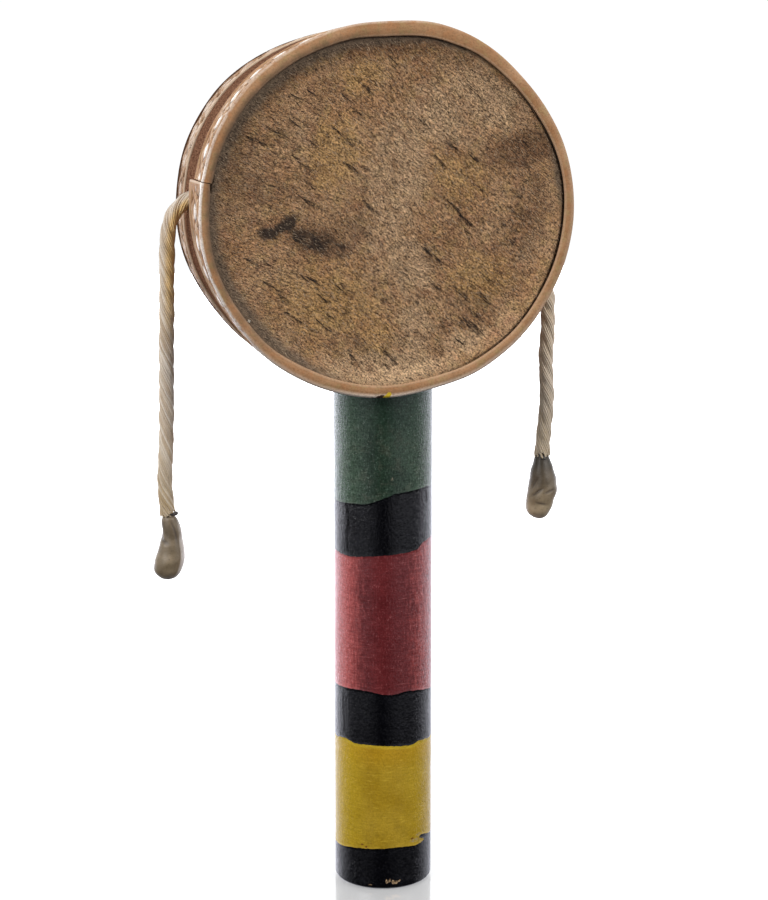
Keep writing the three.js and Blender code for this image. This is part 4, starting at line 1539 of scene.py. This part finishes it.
def makeHandle(material):
    h = handleShape
    radius, curve = h["radius"], h["footRounding"]
    columns = h["columns"]
    angles = np.linspace(-math.pi, math.pi, columns, endpoint=False)
    rows = [[(radius - curve) * k / 6, 0.0] for k in range(1, 7)]
    rows += [[radius - curve * (1 - math.sin(a)), curve * (1 - math.cos(a))]
             for a in np.linspace(0, math.pi / 2, 8)[1:]]
    points = [(0.0, 0.0, 0.0)]
    for reach, height in rows:
        points += [(reach * math.sin(a), -reach * math.cos(a), height) for a in angles]
    tops = [handleTop(radius * math.sin(a), -radius * math.cos(a)) for a in angles]
    for k in range(1, h["rows"] + 1):
        share = k / h["rows"]
        level = 1 - abs(2 * share - 1) ** 8
        heights = np.array([curve + (top - curve) * share for top in tops])
        sinks = crackShare(np.degrees(angles), heights)[1]
        for a, height, sink in zip(angles, heights, sinks):
            around = (radius * math.sin(a), -radius * math.cos(a), height * 0.6)
            reach = radius + level * h["unevenness"] * lumps(around, 7.0, 9.0) - sink
            points.append((reach * math.sin(a), -reach * math.cos(a), height))
    for k in range(h["topRings"], 0, -1):
        reach = radius * (k - 0.5) / h["topRings"]
        for a in angles:
            x, y = reach * math.sin(a), -reach * math.cos(a)
            points.append((x, y, handleTop(x, y)))
    points.append((0.0, 0.0, handleTop(0.0, 0.0)))
    count = len(rows) + h["rows"] + h["topRings"]
    faces = closedRows(count, columns)
    place = np.array(points)
    around = np.degrees(np.arctan2(place[:, 0], -place[:, 1]))
    values = {label: place[:, 2] - bandEdge(edge, around) for label, edge in h["edges"].items()}
    for label, spots in h["marks"].items():
        shown = np.zeros(len(place))
        for angle, height, wide, tall in spots:
            across = np.radians(around - angle) * radius / wide
            shown = np.maximum(shown, 1.0 - 0.5 * np.hypot(across, (place[:, 2] - height) / tall))
        values[label] = np.clip(shown, 0, 1)
    values["crack"] = crackShare(around, place[:, 2])[0] * 0.85
    # across the back the arc runs back again, so that it joins itself
    turned = (around + h["hiddenFrom"]) % 360
    values["arc"] = np.radians(np.where(turned < 180, turned, 360 - turned) - h["hiddenFrom"]) * radius

    def rising(start, end):
        return np.clip((around - start) / (end - start), 0, 1)

    values["coarse"] = np.maximum(rising(-42, -62), rising(20, 40))
    # painted side light, lighter towards both sides and round the back
    values["paintedSideLight"] = np.maximum(rising(-28, -64), 0.55 * rising(4, 38) + 0.45 * rising(110, 170))
    stick = meshObject("painted_handle", points, faces, values, sharp=40.0)
    facesOut(stick)
    stick.data.materials.append(material)
    return finishPiece(stick, "handle_paint", "handle")


handle = makeHandle(paintMaterial())
print("handle:", len(handle.data.polygons), "faces")

# The floor and the light: a white tent that glows all round, brightest behind the object, with a dark
# opening for the camera. The camera sees the tent as plain white wherever it looks.
studio = {
    "floorLow": (-0.7, -0.16),
    "floorHigh": (0.7, 1.6),
    "floorGlow": 0.24,
    "floorMirror": 0.6,
    "towardsCamera": (-0.2209, -0.9753, 0.0),
    "openingLight": 0.02,
    "sideLight": 0.55,
    "lowSideLight": 0.67,  # the sides below the horizon, seen in the handle's paint
    "deepSideLight": 0.04,
    "backEdge": (-0.22, -0.92),  # how far round the bright back reaches
    "deepShift": 0.15,  # by how much less it reaches round far below the horizon
    "backLight": 3.5,
    "highBackLight": 0.9,
    "rightDim": 0.3,  # below the horizon
    "openingEdge": (0.905, 0.968),  # how closely a direction points to the camera where it opens
    "openingTop": (0.75, 0.55),
    "lampAim": (0.0, 0.0, 0.14),
    "lamps": [
        {"name": "leftLamp", "place": (-0.72, -0.42, 0.60), "size": (0.40, 0.55), "power": 5.4},
        {"name": "rightLamp", "place": (0.62, -0.55, 0.70), "size": (0.45, 0.6), "power": 5.4},
    ],
}


def makeFloor():
    mesh = bpy.data.meshes.new("floor")
    (x0, y0), (x1, y1) = studio["floorLow"], studio["floorHigh"]
    mesh.from_pydata([(x0, y0, 0), (x1, y0, 0), (x1, y1, 0), (x0, y1, 0)], [], [(0, 1, 2, 3)])
    floor = addObject("floor", mesh)
    floor.visible_diffuse = False
    floor.visible_glossy = False
    floor.visible_shadow = False
    material, _, shader = newMaterial("whiteTable")
    feed(shader, {"Base Color": (0.9, 0.9, 0.91, 1.0), "Roughness": 0.08})
    feed(shader, {"Metallic": studio["floorMirror"]})
    feed(shader, {"Emission Color": (1.0, 1.0, 1.0, 1.0), "Emission Strength": studio["floorGlow"]})
    mesh.materials.append(material)


def makeLights():
    world = bpy.data.worlds.new("whiteTent")
    bpy.context.scene.world = world
    world.use_nodes = True
    tree = world.node_tree
    s = studio
    way = put(tree, "ShaderNodeTexCoord").outputs["Generated"]
    rightwards, _, height = put(tree, "ShaderNodeSeparateXYZ", {0: way}).outputs
    flat = calc("SQRT", calc("MAXIMUM", 1.0 - height * height, 0.0001))
    front = put(tree, "ShaderNodeVectorMath", {0: way, 1: s["towardsCamera"]}, operation="DOT_PRODUCT")
    facing = front.outputs["Value"] / flat
    opening = softStep(facing, *s["openingEdge"]) * softStep(height, *s["openingTop"])
    low = softStep(height, 0.02, -0.06)
    deep = softStep(height, -0.2, -0.34)
    under = softStep(height, -0.4, -0.6)
    behind = softStep(deep * s["deepShift"] + facing, *s["backEdge"])
    lowSides = deep * (s["deepSideLight"] - s["lowSideLight"]) + (s["lowSideLight"] - s["sideLight"])
    sides = low * lowSides + s["sideLight"]
    notHigh = softStep(height, 0.35, 0.15)
    farSide = notHigh * (s["backLight"] - s["highBackLight"]) + s["highBackLight"]
    lowRight = softStep(rightwards, -0.2, 0.6) * low
    farSide = farSide * (1.0 - lowRight * s["rightDim"]) * (1.0 - under * 0.5 - deep * 0.32)
    room = behind * (farSide - sides) + sides
    lit = opening * (s["openingLight"] - room) + room
    seen = put(tree, "ShaderNodeLightPath").outputs["Is Camera Ray"]
    tint = mixColour(low * (1.0 - seen), (0.98, 0.99, 1.0), (0.95, 0.96, 1.07))
    feed(tree.nodes["Background"], {"Strength": seen * (1.05 - lit) + lit, "Color": tint})
    for lamp in s["lamps"]:
        data = bpy.data.lights.new(lamp["name"], "AREA")
        data.shape = "RECTANGLE"
        data.size, data.size_y = lamp["size"]
        data.energy = lamp["power"]
        light = addObject(lamp["name"], data)
        light.location = lamp["place"]
        light.rotation_mode = "QUATERNION"
        light.rotation_quaternion = (Vector(s["lampAim"]) - light.location).to_track_quat("-Z", "Y")
    bpy.context.scene.view_settings.view_transform = "Standard"


makeFloor()
makeLights()
print("floor and lights placed")
